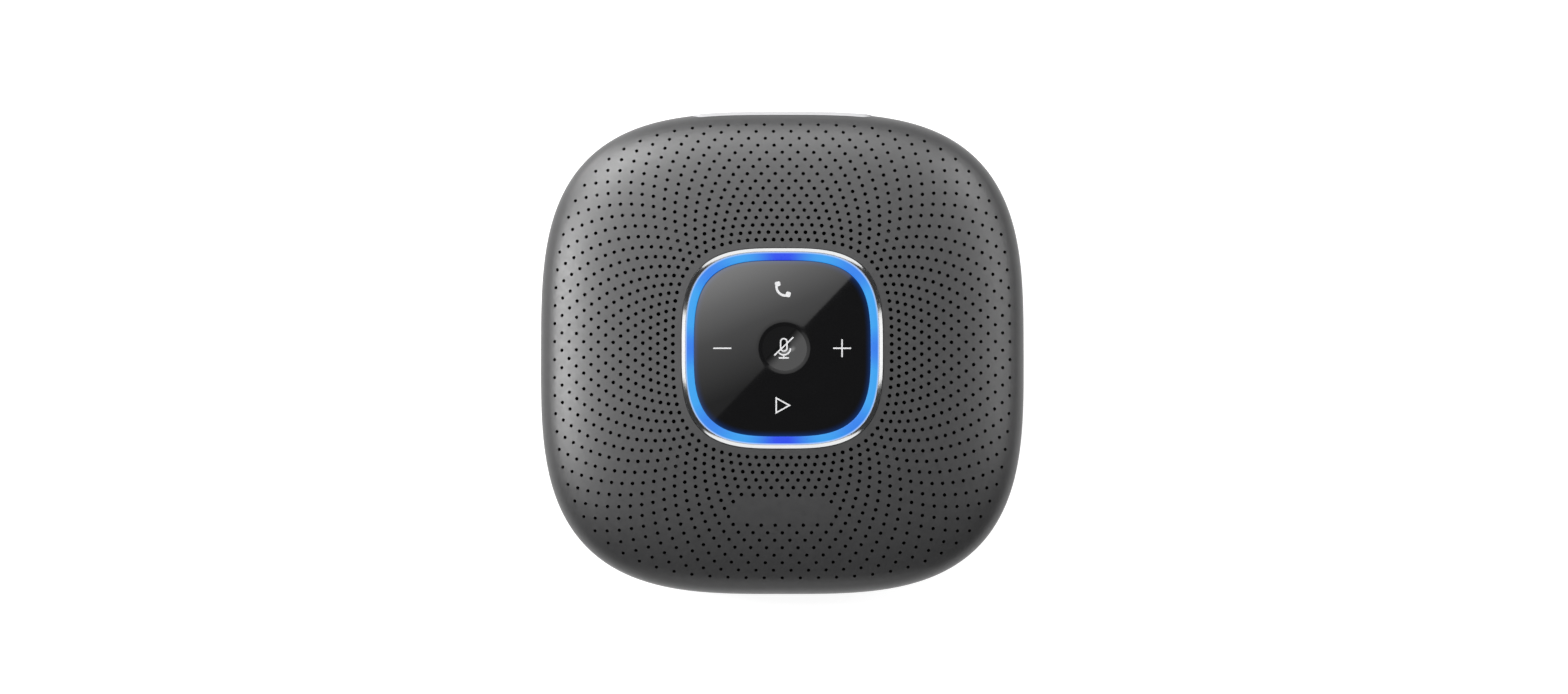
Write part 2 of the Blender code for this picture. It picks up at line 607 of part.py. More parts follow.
def speaker(frame_finish, iron, paper, rubber, copper, foam, finish):
    """Chamber, basket, magnet, cone with its dust cap, surround, voice coil and gasket, facing up."""
    circle = unit_circle(ROUND_SIDES)
    outer = rounded_rectangle(CHAMBER_HALF, CHAMBER_HALF, 3, 3)
    chamber = prism("speaker_chamber", outer, "Z", CHAMBER_Z, CHAMBER_TOP, finish)
    hollow = rounded_rectangle(CHAMBER_HALF - 1.4, CHAMBER_HALF - 1.4, 2, 3)
    cut(chamber, prism("chamber_hollow", hollow, "Z", CHAMBER_Z + 1.2, CHAMBER_TOP - 1.4))
    cut(chamber, cylinder("chamber_mouth", 18.8, "Z", CHAMBER_TOP - 3, CHAMBER_TOP + 2, sides=ROUND_SIDES))

    flange_z = CHAMBER_TOP + 0.2
    basket = [(10.4, 10.2), (14.2, 10.2), (18.4, flange_z), (SPEAKER_FLANGE, flange_z)]
    basket += [(SPEAKER_FLANGE, 20.2), (18.7, 20.2), (18.0, flange_z - 0.2), (13.8, 11.2), (10.4, 11.2)]
    turned("speaker_frame", circle, basket, frame_finish, closed=True)

    magnet = [(0, 5.2), (MAGNET_RADIUS, 5.2), (MAGNET_RADIUS, 10.0), (10.2, 10.0)]
    magnet += [(10.2, 6.4), (8.8, 6.4), (8.8, 10.8), (0, 10.8)]
    turned("speaker_magnet", circle, magnet, iron)

    cap = [(0, 16.4), (5.0, 15.9), (8.8, 14.5), (9.8, 14.3), (15.4, 18.9)]
    back = [(15.4, 18.4), (9.8, 13.6), (8.6, 13.9), (5.0, 15.4), (0, 15.9)]
    turned("speaker_cone", circle, cap + back, paper)
    turned("voice_coil", circle, [(9.2, 7.6), (9.8, 7.6), (9.8, 13.3), (9.2, 13.3)], copper, closed=True)

    roll = [(15.7, 18.5)]
    for k in range(5):
        a = math.pi * (1 - k / 4)
        roll.append((16.7 + 1.0 * math.cos(a), 19.0 + 1.1 * math.sin(a)))
    under = [(17.3, 18.9), (16.7, 19.5), (16.1, 18.9)]
    turned("speaker_surround", circle, roll + under, rubber, closed=True)
    gasket = [(17.9, 20.4), (20.2, 20.4), (20.2, 21.8), (17.9, 21.8)]
    turned("speaker_gasket", circle, gasket, foam, closed=True)


# ---------------------------------------------------------------- microphones


def microphones(rubber, steel):
    """Six capsules round the body, each in a rubber boot whose port meets a hole in the wall."""
    outer, pocket = rounded_rectangle(2.6, 2.1, 0.4, 1), rounded_rectangle(2.0, 1.5, 0.2, 1)
    port = [(u * 0.6, v * 0.6) for u, v in rounded_rectangle(1, 1, 0.4, 1)]
    boot_rings = [[(0, u, v) for u, v in outer], [(-3.0, u, v) for u, v in outer]]
    boot_rings += [[(-3.0, u, v) for u, v in pocket], [(-1.3, u, v) for u, v in pocket]]
    boot_rings += [[(-1.3, u, v) for u, v in port], [(0, u, v) for u, v in port]]
    capsule_outline = rounded_rectangle(1.8, 1.3, 0.2, 1)
    first_boot = skin("mic_boot_1", boot_rings, rubber, closed=True)
    first_mic = prism("microphone_1", capsule_outline, "X", -2.6, -1.5, steel)
    for k, degrees in enumerate(MIC_ANGLES):
        x, y, heading = on_squircle(MIC_FACE_HALF, degrees)
        for kind, first in (("mic_boot", first_boot), ("microphone", first_mic)):
            piece = first if k == 0 else bpy.data.objects.new(f"{kind}_{k + 1}", first.data)
            piece.location = (x * MM, y * MM, MIC_Z * MM)
            piece.rotation_euler = (0, 0, heading)
            if k:
                bpy.context.scene.collection.objects.link(piece)


# ---------------------------------------------------------------- assembly


def main():
    for old in list(bpy.data.objects):
        bpy.data.objects.remove(old)

    graphite = material("graphite_plastic", (0.085, 0.085, 0.09), 0.42)
    dark = material("dark_plastic", (0.03, 0.03, 0.032), 0.5)
    gloss = material("gloss_black", (0.01, 0.01, 0.011), 0.08)
    chrome = material("chrome", (0.85, 0.85, 0.86), 0.08, 1.0)
    satin = material("satin_aluminium", (0.8, 0.8, 0.8), 0.3, 1.0)
    diffuser = material("light_diffuser", (0.1, 0.45, 1.0), 0.3)
    rubber = material("rubber", (0.02, 0.02, 0.02), 0.8)
    foam = material("foam", (0.05, 0.05, 0.05), 0.95)
    cloth = material("cloth", (0.012, 0.012, 0.012), 0.95)
    board = material("circuit_board", (0.02, 0.1, 0.05), 0.5)
    ribbon = material("ribbon_film", (0.75, 0.35, 0.08), 0.4)
    led = material("led_package", (0.9, 0.9, 0.85), 0.4)
    steel = material("steel", (0.6, 0.6, 0.6), 0.3, 1.0)
    iron = material("magnet_iron", (0.12, 0.12, 0.12), 0.5, 1.0)
    copper = material("copper", (0.7, 0.32, 0.18), 0.35, 1.0)
    paper = material("cone_paper", (0.03, 0.03, 0.03), 0.8)
    wrap = material("battery_wrap", (0.05, 0.2, 0.5), 0.35)

    upper_housing(graphite)
    lower_housing(graphite)
    grille_cloth(cloth)
    underside(rubber, dark, steel)
    control_panel(chrome, diffuser, gloss, board, led, dark)
    ribbon_cable(ribbon)
    port_panel(satin, dark)
    for key, x in (("power", POWER_X), ("bluetooth", BLUETOOTH_X)):
        push_button(f"{key}_button", x, graphite)
        side_push_switch(key, x, steel, dark)
    usb_c_receptacle(steel)
    usb_a_receptacle(steel)
    aux_jack(dark)
    side_port_plate(dark)
    port_flap(rubber)
    main_board(board, steel)
    battery(wrap, dark)
    speaker(dark, iron, paper, rubber, copper, foam, dark)
    microphones(rubber, steel)


main()
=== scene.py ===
"""The finished look of the conference speakerphone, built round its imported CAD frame.

Lengths are in millimetres until mesh_object() stores them in metres. +Z is up and the ports face +Y.
"""

import math

import bmesh
import bpy
import numpy as np
from mathutils import Matrix, Vector


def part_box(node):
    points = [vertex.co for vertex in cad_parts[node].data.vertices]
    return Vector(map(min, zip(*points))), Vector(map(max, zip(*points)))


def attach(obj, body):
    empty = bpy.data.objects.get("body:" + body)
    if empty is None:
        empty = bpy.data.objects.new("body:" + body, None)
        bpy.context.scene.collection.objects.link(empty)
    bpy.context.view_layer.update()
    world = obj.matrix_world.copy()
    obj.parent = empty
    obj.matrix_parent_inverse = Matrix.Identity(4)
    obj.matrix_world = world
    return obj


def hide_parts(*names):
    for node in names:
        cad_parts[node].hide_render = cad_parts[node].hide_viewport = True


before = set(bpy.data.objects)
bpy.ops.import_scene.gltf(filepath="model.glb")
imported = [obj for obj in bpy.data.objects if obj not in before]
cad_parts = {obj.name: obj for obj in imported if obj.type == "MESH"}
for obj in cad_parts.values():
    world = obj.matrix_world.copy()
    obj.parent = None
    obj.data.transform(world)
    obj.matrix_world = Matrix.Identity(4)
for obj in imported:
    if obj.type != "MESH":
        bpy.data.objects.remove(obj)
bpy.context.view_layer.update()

MM = 0.001


def node_mm(name):
    """(lowest corner, highest corner) of a CAD node, in millimetres."""
    low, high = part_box(name)
    return np.array(low) / MM, np.array(high) / MM


# Sizes read from the frame.
HALF_WIDTH = node_mm("upper_housing")[1][0]
FOOT_OUTER = node_mm("foot_ring")[1][0]
FOOT_TOP = node_mm("foot_ring")[1][2]
PLATE_HALF = node_mm("base_plate")[1][0]
PLATE_LOW, PLATE_HIGH = node_mm("base_plate")[0][2], node_mm("base_plate")[1][2]
BEZEL_HALF = node_mm("panel_bezel")[1][0]
BEZEL_LOW, BEZEL_TOP = node_mm("panel_bezel")[0][2], node_mm("panel_bezel")[1][2]
LIGHT_LOW, LIGHT_TOP = node_mm("light_ring")[0][2], node_mm("light_ring")[1][2]
LENS_HALF = node_mm("control_lens")[1][0]
LENS_LOW, LENS_TOP = node_mm("control_lens")[0][2], node_mm("control_lens")[1][2]
TRIM_LOW, TRIM_HIGH = node_mm("rear_port_trim")[0][2], node_mm("rear_port_trim")[1][2]
TRIM_HALF = node_mm("rear_port_trim")[1][0]
TRIM_MIDDLE, TRIM_HALF_HIGH = (TRIM_LOW + TRIM_HIGH) / 2, (TRIM_HIGH - TRIM_LOW) / 2
FLAP_LOW, FLAP_HIGH = node_mm("port_flap")[0][2], node_mm("port_flap")[1][2]
FLAP_HALF = node_mm("port_flap")[1][1]
FLAP_MIDDLE, FLAP_HALF_HIGH = (FLAP_LOW + FLAP_HIGH) / 2, (FLAP_HIGH - FLAP_LOW) / 2
USB_C_LOW, USB_C_HIGH = node_mm("usb_c_receptacle")

# The same shape laws as the CAD model. The bezel, the lens and the port frame's corners differ a little.
SQUIRCLE = 3.24
EQUATOR_Z = 17.0
CROWN = 13.0
CROWN_POWER = 2.5
WALL = 1.8
BASE_HALF = 47.0
BASE_Z = 1.2
BOWL_POWER = 2.2
FLOOR_Z = 3.4
SEAM_Z = 15.0
SEAM_GAP = 0.4
BEZEL_RIM = BEZEL_HALF - 0.2
BEZEL_BORE = BEZEL_RIM - 1.0
LENS_EDGE = LENS_HALF + 0.15
PANEL_FRAME = 0.9
PANEL_CORNER = 2.8
PORT_Z = 14.3
PORT_GAP = 0.12
REAR_CUT = (52, 66)  # from inside the rear wall to outside it
BOSS_AT = 28.0
BOSSES = [(x, y) for x in (-BOSS_AT, BOSS_AT) for y in (-BOSS_AT, BOSS_AT)]
MIC_ANGLES = (30, 150, 210, 270, 330)
MIC_Z = 13.4

# The perforation: rings of holes, each ring shifted by half a step against the last.
RINGS = 17
HOLES = 86
FIRST_RING = 27.48
RING_STEP = 1.895
RING_TIGHTENING = 0.00184
HOLE_DIAMETER = 1.02
HOLE_SHRINK = 0.009
BLANK_RINGS = (6, 7, 8)
BLANK_HALF = 11.5
QUARTERS = 4  # border segments along each side of a hole's cell
AROUND = HOLES * QUARTERS

# The dish near the middle of the lens, the mute symbol's place, and the weight of the symbols' lines.
DISH_RADIUS = 5.55
DISH_DEPTH = 0.335
DISH_X = 0.55
MUTE_X = 0.38
MUTE_Y = -0.15
SHOULDER_WIDTH = 1.9
SHOULDER_DROP = 0.01
LINE = 0.36


# ---------------------------------------------------------------- outlines


def unit_squircle(count, start=0.0):
    """Points of a squircle of half width 1, evenly spaced along it, clockwise from the rear (0, 1)."""
    angle = np.linspace(0, 2 * math.pi, 32769)
    s, c = np.sin(angle), np.cos(angle)
    x = np.sign(s) * np.abs(s) ** (2 / SQUIRCLE)
    y = np.sign(c) * np.abs(c) ** (2 / SQUIRCLE)
    length = np.concatenate([[0], np.cumsum(np.hypot(np.diff(x), np.diff(y)))])
    at = (np.arange(count) + start) % count / count * length[-1]
    return np.column_stack([np.interp(at, length, x), np.interp(at, length, y)])


def unit_circle(count):
    """Clockwise from (0, 1), like unit_squircle()."""
    angle = np.arange(count) / count * 2 * math.pi
    return np.column_stack([np.sin(angle), np.cos(angle)])


def rounded_rectangle(half_u, half_v, radius, steps=8, straight=1):
    """Outline centred on 0, with arcs of this many steps and each straight side in this many parts."""
    points = []
    for k, (su, sv) in enumerate(((1, 1), (-1, 1), (-1, -1), (1, -1))):
        for i in range(steps + 1):
            a = math.radians(90 * (k + i / steps))
            u = su * (half_u - radius) + radius * math.cos(a)
            v = sv * (half_v - radius) + radius * math.sin(a)
            points.append((u, v))
    if straight == 1:
        return points
    full = []
    for (u, v), (next_u, next_v) in zip(points, points[1:] + points[:1]):
        far = math.hypot(next_u - u, next_v - v) > radius
        parts = straight if far else 1
        full += [(u + (next_u - u) * i / parts, v + (next_v - v) * i / parts) for i in range(parts)]
    return full


def squircle_size(x, y):
    """Half width of the squircle through (x, y)."""
    return (abs(x) ** SQUIRCLE + abs(y) ** SQUIRCLE) ** (1 / SQUIRCLE)


def squircle_edge(half_width, across):
    """How far out the squircle's side is at this distance from its middle."""
    return (half_width**SQUIRCLE - abs(across) ** SQUIRCLE) ** (1 / SQUIRCLE)


def on_squircle(half_width, degrees):
    """(x, y, heading of the outward normal in radians) where a ray at this angle meets the squircle."""
    c, s = math.cos(math.radians(degrees)), math.sin(math.radians(degrees))
    reach = half_width / squircle_size(c, s)
    x, y = reach * c, reach * s
    nx = math.copysign(abs(x) ** (SQUIRCLE - 1), x)
    ny = math.copysign(abs(y) ** (SQUIRCLE - 1), y)
    return x, y, math.atan2(ny, nx)


# ---------------------------------------------------------------- surfaces of the body


def dome_z(size):
    return EQUATOR_Z + CROWN * (1 - (size / HALF_WIDTH) ** CROWN_POWER) ** (1 / CROWN_POWER)


def dome_slope(size):
    """Fall of the dome per unit of squircle size."""
    share = size / HALF_WIDTH
    inside = max(1 - share**CROWN_POWER, 1e-9)
    return CROWN / HALF_WIDTH * share ** (CROWN_POWER - 1) * inside ** (1 / CROWN_POWER - 1)


def outward(x, y, slope):
    """Unit normal of a surface z = f(squircle size) that falls at this slope."""
    size = squircle_size(x, y)
    gx = math.copysign(abs(x / size) ** (SQUIRCLE - 1), x)
    gy = math.copysign(abs(y / size) ** (SQUIRCLE - 1), y)
    normal = Vector((slope * gx, slope * gy, 1))
    return normal.normalized()


def bowl_half(z):
    drop = (EQUATOR_Z - z) / (EQUATOR_Z - BASE_Z)
    return BASE_HALF + (HALF_WIDTH - BASE_HALF) * (1 - drop**BOWL_POWER) ** (1 / BOWL_POWER)


def bowl_profile(top_z, half_width, base, base_z, steps):
    """(half width, z) down the bowl, from height top_z to its flat base."""
    start = math.asin(((EQUATOR_Z - top_z) / (EQUATOR_Z - base_z)) ** (BOWL_POWER / 2))
    points = []
    for k in range(steps + 1):
        a = start + (math.pi / 2 - start) * k / steps
        out = (half_width - base) * max(math.cos(a), 0) ** (2 / BOWL_POWER)
        points.append((base + out, EQUATOR_Z - (EQUATOR_Z - base_z) * math.sin(a) ** (2 / BOWL_POWER)))
    return points


# ---------------------------------------------------------------- mesh helpers


def mesh_object(name, points, faces, finish=None, sharp=35):
    """An object from points in millimetres, with its faces turned out and its edges sharp past an angle."""
    mesh = bpy.data.meshes.new(name)
    mesh.from_pydata([[c * MM for c in point] for point in points], [], faces)
    work = bmesh.new()
    work.from_mesh(mesh)
    bmesh.ops.recalc_face_normals(work, faces=work.faces)
    work.to_mesh(mesh)
    work.free()
    mesh.shade_smooth()
    mesh.set_sharp_from_angle(angle=math.radians(sharp))
    if finish:
        mesh.materials.append(finish)
    made = bpy.data.objects.new(name, mesh)
    bpy.context.scene.collection.objects.link(made)
    return made


def strip_cap(ring, start):
    """Faces that close a ring with upright strips, each of them flat, so that the cap can follow a wall."""
    columns = {}
    for index, (x, _, z) in enumerate(ring):
        columns.setdefault(round(x, 5), []).append((z, start + index))
    order = sorted(columns)
    faces = []
    for a, b in zip(order, order[1:]):
        upwards = [index for _, index in sorted(columns[a])]
        downwards = [index for _, index in sorted(columns[b], reverse=True)]
        faces.append(upwards + downwards)
    return faces


def skin(name, rings, finish=None, closed=False, sharp=35, strips=False):
    """A solid with faces between neighbouring rings. Its ends are capped, unless closed joins them."""
    points, starts = [], []
    for one in rings:
        starts.append(len(points))
        points += [tuple(p) for p in one]
    pairs = list(zip(range(len(rings)), range(1, len(rings))))
    if closed:
        pairs.append((len(rings) - 1, 0))
    faces = []
    for a, b in pairs:
        count = max(len(rings[a]), len(rings[b]))
        for i in range(count):
            j = (i + 1) % count
            if len(rings[a]) == 1:
                faces.append((starts[a], starts[b] + j, starts[b] + i))
            elif len(rings[b]) == 1:
                faces.append((starts[a] + i, starts[a] + j, starts[b]))
            else:
                faces.append((starts[a] + i, starts[a] + j, starts[b] + j, starts[b] + i))
    if not closed:
        for end in (0, len(rings) - 1):
            if strips:
                faces += strip_cap(rings[end], starts[end])
            elif len(rings[end]) > 2:
                faces.append([starts[end] + i for i in range(len(rings[end]))])
    return mesh_object(name, points, faces, finish, sharp)


def level(outline, size, z):
    """The outline at this size and height. At size 0 it is one point."""
    return [(0.0, 0.0, z)] if size == 0 else [(u * size, v * size, z) for u, v in outline]


def turned(name, outline, profile, finish=None, closed=False, sharp=35):
    """A solid from one outline scaled to each (size, z) of the profile."""
    return skin(name, [level(outline, size, z) for size, z in profile], finish, closed, sharp)


def prism(name, outline, axis, low, high, finish=None, centre=(0, 0)):
    """The outline, in the plane across the axis, extruded from low to high along it."""

    def place(u, v, along):
        u, v = u + centre[0], v + centre[1]
        return {"X": (along, u, v), "Y": (u, along, v), "Z": (u, v, along)}[axis]

    return skin(name, [[place(u, v, along) for u, v in outline] for along in (low, high)], finish)


def cylinder(name, radius, axis, low, high, centre=(0, 0), sides=48, finish=None):
    outline = [(u * radius, v * radius) for u, v in unit_circle(sides)]
    return prism(name, outline, axis, low, high, finish, centre)


def rounded_corner(corner, before, after, radius, steps=4):
    """Points of an arc that rounds this corner of a profile, between its neighbours."""
    corner, before, after = Vector(corner), Vector(before), Vector(after)
    start = corner + (before - corner).normalized() * radius
    end = corner + (after - corner).normalized() * radius
    points = []
    for k in range(steps + 1):
        t = k / steps
        points.append(tuple(start * (1 - t) ** 2 + corner * 2 * t * (1 - t) + end * t**2))
    return points


def softened(profile, radii, steps=4):
    """A closed profile with each corner that has a radius above 0 rounded."""
    points = []
    count = len(profile)
    for k, (corner, radius) in enumerate(zip(profile, radii)):
        if radius > 0:
            points += rounded_corner(corner, profile[k - 1], profile[(k + 1) % count], radius, steps)
        else:
            points.append(corner)
    return points


def boolean(target, operation, tool):
    """Applies a Boolean of the tool to the target at once, and removes the tool."""
    modifier = target.modifiers.new("boolean", "BOOLEAN")
    modifier.operation = operation
    modifier.object = tool
    modifier.solver = "EXACT"
    graph = bpy.context.evaluated_depsgraph_get()
    made = bpy.data.meshes.new_from_object(target.evaluated_get(graph))
    target.modifiers.remove(modifier)
    old = target.data
    target.data = made
    made.name = old.name
    bpy.data.meshes.remove(old)
    bpy.data.objects.remove(tool)
    return target


def smooth_again(obj, sharp=35):
    obj.data.shade_smooth()
    obj.data.set_sharp_from_angle(angle=math.radians(sharp))
    return obj


def joined(name, parts, *finishes):
    """One object from several closed meshes, which keep the numbers of their finishes."""
    work = bmesh.new()
    for part in parts:
        work.from_mesh(part.data)
        bpy.data.objects.remove(part)
    mesh = bpy.data.meshes.new(name)
    work.to_mesh(mesh)
    work.free()
    for finish in finishes:
        mesh.materials.append(finish)
    made = bpy.data.objects.new(name, mesh)
    bpy.context.scene.collection.objects.link(made)
    return smooth_again(made)


def fit_out(piece, body, slot, *nodes):
    """Sets the body and hides the CAD nodes that a piece stands for. The finish slot is not used."""
    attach(piece, body)
    if nodes:
        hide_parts(*nodes)
    return piece


# ---------------------------------------------------------------- materials


def math_node(tree, operation, *values):
    """A math node on sockets and plain numbers."""
    made = tree.nodes.new("ShaderNodeMath")
    made.operation = operation
    for socket, value in zip(made.inputs, values):
        if isinstance(value, (int, float)):
            socket.default_value = value
        else:
            tree.links.new(value, socket)
    return made.outputs["Value"]


class Shader:
    """A Principled material with helpers that add procedural detail in object space."""

    def __init__(self, name, colour, roughness, metallic=0.0):
        self.material = bpy.data.materials.new(name)
        self.material.use_nodes = True
        self.tree = self.material.node_tree
        self.bsdf = self.tree.nodes["Principled BSDF"]
        self.set(base=colour, rough=roughness, metal=metallic)
        self.material.diffuse_color = (*colour, 1)
        self.coordinates = self.node("ShaderNodeTexCoord").outputs["Object"]
        self.height = None

    def node(self, kind, **settings):
        made = self.tree.nodes.new(kind)
        for key, value in settings.items():
            setattr(made, key, value)
        return made

    def link(self, output, socket):
        self.tree.links.new(output, socket)

    def set(self, base=None, rough=None, metal=None, **more):
        if base is not None:
            self.bsdf.inputs["Base Color"].default_value = (*base, 1)
        if rough is not None:
            self.bsdf.inputs["Roughness"].default_value = rough
        if metal is not None:
            self.bsdf.inputs["Metallic"].default_value = metal
        for socket, value in more.items():
            self.bsdf.inputs[socket.replace("_", " ")].default_value = value
        return self

    def noise(self, size_mm, detail=3.0, roughness=0.55, stretch=(1, 1, 1)):
        """Noise with features of about this size, in object space."""
        scaled = self.node("ShaderNodeMapping")
        scaled.inputs["Scale"].default_value = stretch
        self.link(self.coordinates, scaled.inputs["Vector"])
        made = self.node("ShaderNodeTexNoise")
        made.inputs["Scale"].default_value = 1 / (size_mm * MM)
        made.inputs["Detail"].default_value = detail
        made.inputs["Roughness"].default_value = roughness
        self.link(scaled.outputs["Vector"], made.inputs["Vector"])
        return made.outputs["Fac"]

    def bands(self, axis, scale):
        """Even waves along an axis."""
        made = self.node("ShaderNodeTexWave", wave_type="BANDS", bands_direction=axis)
        made.inputs["Scale"].default_value = scale
        self.link(self.coordinates, made.inputs["Vector"])
        return made.outputs["Fac"]

    def spread(self, factor, low, high, start=0.3, end=0.7):
        """Maps a factor between start and end to the range low to high."""
        made = self.node("ShaderNodeMapRange")
        for socket, value in (("From Min", start), ("From Max", end), ("To Min", low), ("To Max", high)):
            made.inputs[socket].default_value = value
        self.link(factor, made.inputs["Value"])
        return made.outputs["Result"]

    def maths(self, operation, *values):
        return math_node(self.tree, operation, *values)

    def split(self):
        parts = self.node("ShaderNodeSeparateXYZ")
        self.link(self.coordinates, parts.inputs["Vector"])
        return parts.outputs

    def squircle_mm(self):
        """Half width, in millimetres, of the squircle that each point lies on."""
        parts = self.split()
        powers = []
        for axis in ("X", "Y"):
            size = self.maths("ABSOLUTE", self.maths("DIVIDE", parts[axis], MM))
            powers.append(self.maths("POWER", size, SQUIRCLE))
        return self.maths("POWER", self.maths("ADD", *powers), 1 / SQUIRCLE)

    def vary_roughness(self, factor, low, high):
        self.link(self.spread(factor, low, high), self.bsdf.inputs["Roughness"])
        return self

    def mix_colours(self, share, first, second):
        mix = self.node("ShaderNodeMix", data_type="RGBA")
        mix.inputs["A"].default_value = (*first, 1)
        mix.inputs["B"].default_value = (*second, 1)
        self.link(share, mix.inputs["Factor"])
        self.link(mix.outputs["Result"], self.bsdf.inputs["Base Color"])
        return self

    def vary_colour(self, factor, first, second):
        return self.mix_colours(self.spread(factor, 0, 1), first, second)

    def bump(self, factor, depth_mm, strength=1.0):
        made = self.node("ShaderNodeBump")
        made.inputs["Strength"].default_value = strength
        made.inputs["Distance"].default_value = depth_mm * MM
        self.link(factor, made.inputs["Height"])
        if self.height is not None:
            self.link(self.height, made.inputs["Normal"])
        self.height = made.outputs["Normal"]
        self.link(self.height, self.bsdf.inputs["Normal"])
        return self


def graphite_plastic():
    """Satin dark moulding with a fine spark-eroded grain."""
    m = Shader("graphite_satin", (0.018, 0.018, 0.0185), 0.42)
    m.set(Specular_IOR_Level=0.55)
    m.vary_colour(m.noise(2.5, 4), (0.0165, 0.0165, 0.017), (0.0195, 0.0195, 0.02))
    m.vary_roughness(m.noise(1.2, 3), 0.39, 0.45)
    m.bump(m.noise(0.14, 2), 0.006, 0.35)
    return m.material


def painted_hole_shade():
    """Painted shade for the walls of the holes and the inside of the dome, near black."""
    m = Shader("hole_walls_painted_shade", (0.004, 0.004, 0.004), 0.8)
    m.set(Specular_IOR_Level=0.15)
    m.vary_colour(m.noise(1.5, 2), (0.003, 0.003, 0.003), (0.005, 0.005, 0.005))
    return m.material


def dark_plastic():
    m = Shader("dark_matt_plastic", (0.018, 0.018, 0.019), 0.5)
    m.vary_colour(m.noise(3, 3), (0.016, 0.016, 0.017), (0.021, 0.021, 0.022))
    m.vary_roughness(m.noise(1.5, 3), 0.45, 0.58)
    m.bump(m.noise(0.2, 2), 0.008, 0.4)
    return m.material


def button_plastic():
    m = Shader("key_satin_plastic", (0.03, 0.03, 0.031), 0.36)
    m.vary_colour(m.noise(2, 3), (0.028, 0.028, 0.029), (0.033, 0.033, 0.034))
    m.vary_roughness(m.noise(0.8, 3), 0.33, 0.41)
    m.bump(m.noise(0.12, 2), 0.004, 0.3)
    return m.material


def lens_gloss():
    """Polished black moulding under a hard clear coat."""
    m = Shader("lens_gloss_black", (0.009, 0.009, 0.0095), 0.015)
    m.set(Coat_Weight=0.4, Coat_Roughness=0.01)
    m.vary_colour(m.noise(6, 2), (0.0087, 0.0087, 0.0092), (0.0093, 0.0093, 0.0098))
    m.vary_roughness(m.noise(4, 3), 0.012, 0.02)
    # A painted blue glow at the edge of the lens stands in for the ring's light that shows there.
    near = m.spread(m.squircle_mm(), 0, 1, LENS_EDGE - 1.7, LENS_EDGE)
    m.bsdf.inputs["Emission Color"].default_value = (0.0, 0.2, 1.0, 1)
    m.link(m.maths("MULTIPLY", m.maths("POWER", near, 2.2), 0.12), m.bsdf.inputs["Emission Strength"])
    return m.material


def chrome():
    m = Shader("bezel_chrome", (0.55, 0.555, 0.56), 0.12, 1.0)
    m.vary_colour(m.noise(5, 2), (0.54, 0.545, 0.55), (0.56, 0.565, 0.57))
    m.vary_roughness(m.noise(0.7, 3), 0.1, 0.14)
    return m.material


def satin_metal():
    m = Shader("port_trim_satin", (0.27, 0.27, 0.275), 0.5)
    m.set(Specular_IOR_Level=0.25)
    m.vary_roughness(m.noise(0.3, 3, stretch=(0.15, 1, 1)), 0.44, 0.54)
    m.bump(m.noise(0.12, 2, stretch=(0.1, 1, 1)), 0.002, 0.3)
    return m.material


def light_diffuser():
    """Translucent ring lit by the eight lamps under it.

    The light is deepest over the front and rear lamps, azure between the lamps, and pale along the bezel.
    """
    m = Shader("light_ring_glow", (0.012, 0.03, 0.07), 0.34)
    parts = m.split()
    angle = m.maths("ARCTAN2", parts["Y"], parts["X"])

    def wave(times):
        return m.maths("COSINE", m.maths("MULTIPLY", angle, times))

    # wave(8) peaks over every lamp, wave(4) over those at the middles of the sides, and wave(2) at the left
    # and right.
    depth = m.maths("MULTIPLY_ADD", wave(8), 0.32, 0.32)
    depth = m.maths("MULTIPLY_ADD", wave(4), 0.14, depth)
    depth = m.maths("MULTIPLY_ADD", wave(2), -0.22, depth)
    ramp = m.node("ShaderNodeValToRGB")
    stops = ramp.color_ramp.elements
    stops[0].position, stops[0].color = 0.1, (0.023, 0.315, 0.75, 1)
    stops[1].position, stops[1].color = 0.95, (0.0, 0.012, 0.72, 1)
    stops.new(0.55).color = (0.013, 0.155, 0.71, 1)
    m.link(depth, ramp.inputs["Fac"])
    pale = m.node("ShaderNodeMix", data_type="RGBA")
    m.link(m.spread(m.squircle_mm(), 0, 0.9, BEZEL_BORE - 0.42, BEZEL_BORE - 0.08), pale.inputs["Factor"])
    m.link(ramp.outputs["Color"], pale.inputs["A"])
    pale.inputs["B"].default_value = (0.45, 0.62, 0.95, 1)
    m.link(pale.outputs["Result"], m.bsdf.inputs["Emission Color"])
    m.set(Emission_Strength=0.95, Specular_IOR_Level=0.2)
    m.vary_roughness(m.noise(0.8, 2), 0.26, 0.36)
    return m.material


def symbol_print():
    m = Shader("symbol_print_white", (0.33, 0.33, 0.335), 0.5)
    # A faint painted white glow lifts the print above what its colour gives under the lamps.
    m.set(Emission_Strength=0.03, Specular_IOR_Level=0.2)
    m.bsdf.inputs["Emission Color"].default_value = (1, 1, 1, 1)
    m.vary_colour(m.noise(0.5, 2), (0.32, 0.32, 0.325), (0.34, 0.34, 0.345))
    return m.material


def key_print():
    m = Shader("key_print_grey", (0.6, 0.6, 0.61), 0.5)
    m.vary_colour(m.noise(0.4, 2), (0.56, 0.56, 0.57), (0.64, 0.64, 0.65))
    return m.material


def rubber():
    m = Shader("soft_rubber", (0.017, 0.017, 0.018), 0.72)
    m.vary_colour(m.noise(2, 4), (0.014, 0.014, 0.015), (0.022, 0.022, 0.023))
    m.vary_roughness(m.noise(0.9, 3), 0.64, 0.82)
    m.bump(m.noise(0.25, 3), 0.012, 0.45)
    return m.material


def cloth():
    """Black woven lining: two crossed waves make the threads."""
    m = Shader("acoustic_cloth", (0.006, 0.006, 0.006), 0.95)
    weave = m.maths("MULTIPLY", m.bands("X", 900), m.bands("Y", 900))
    m.vary_colour(weave, (0.003, 0.003, 0.003), (0.01, 0.01, 0.01))
    m.bump(weave, 0.05, 0.5)
    return m.material


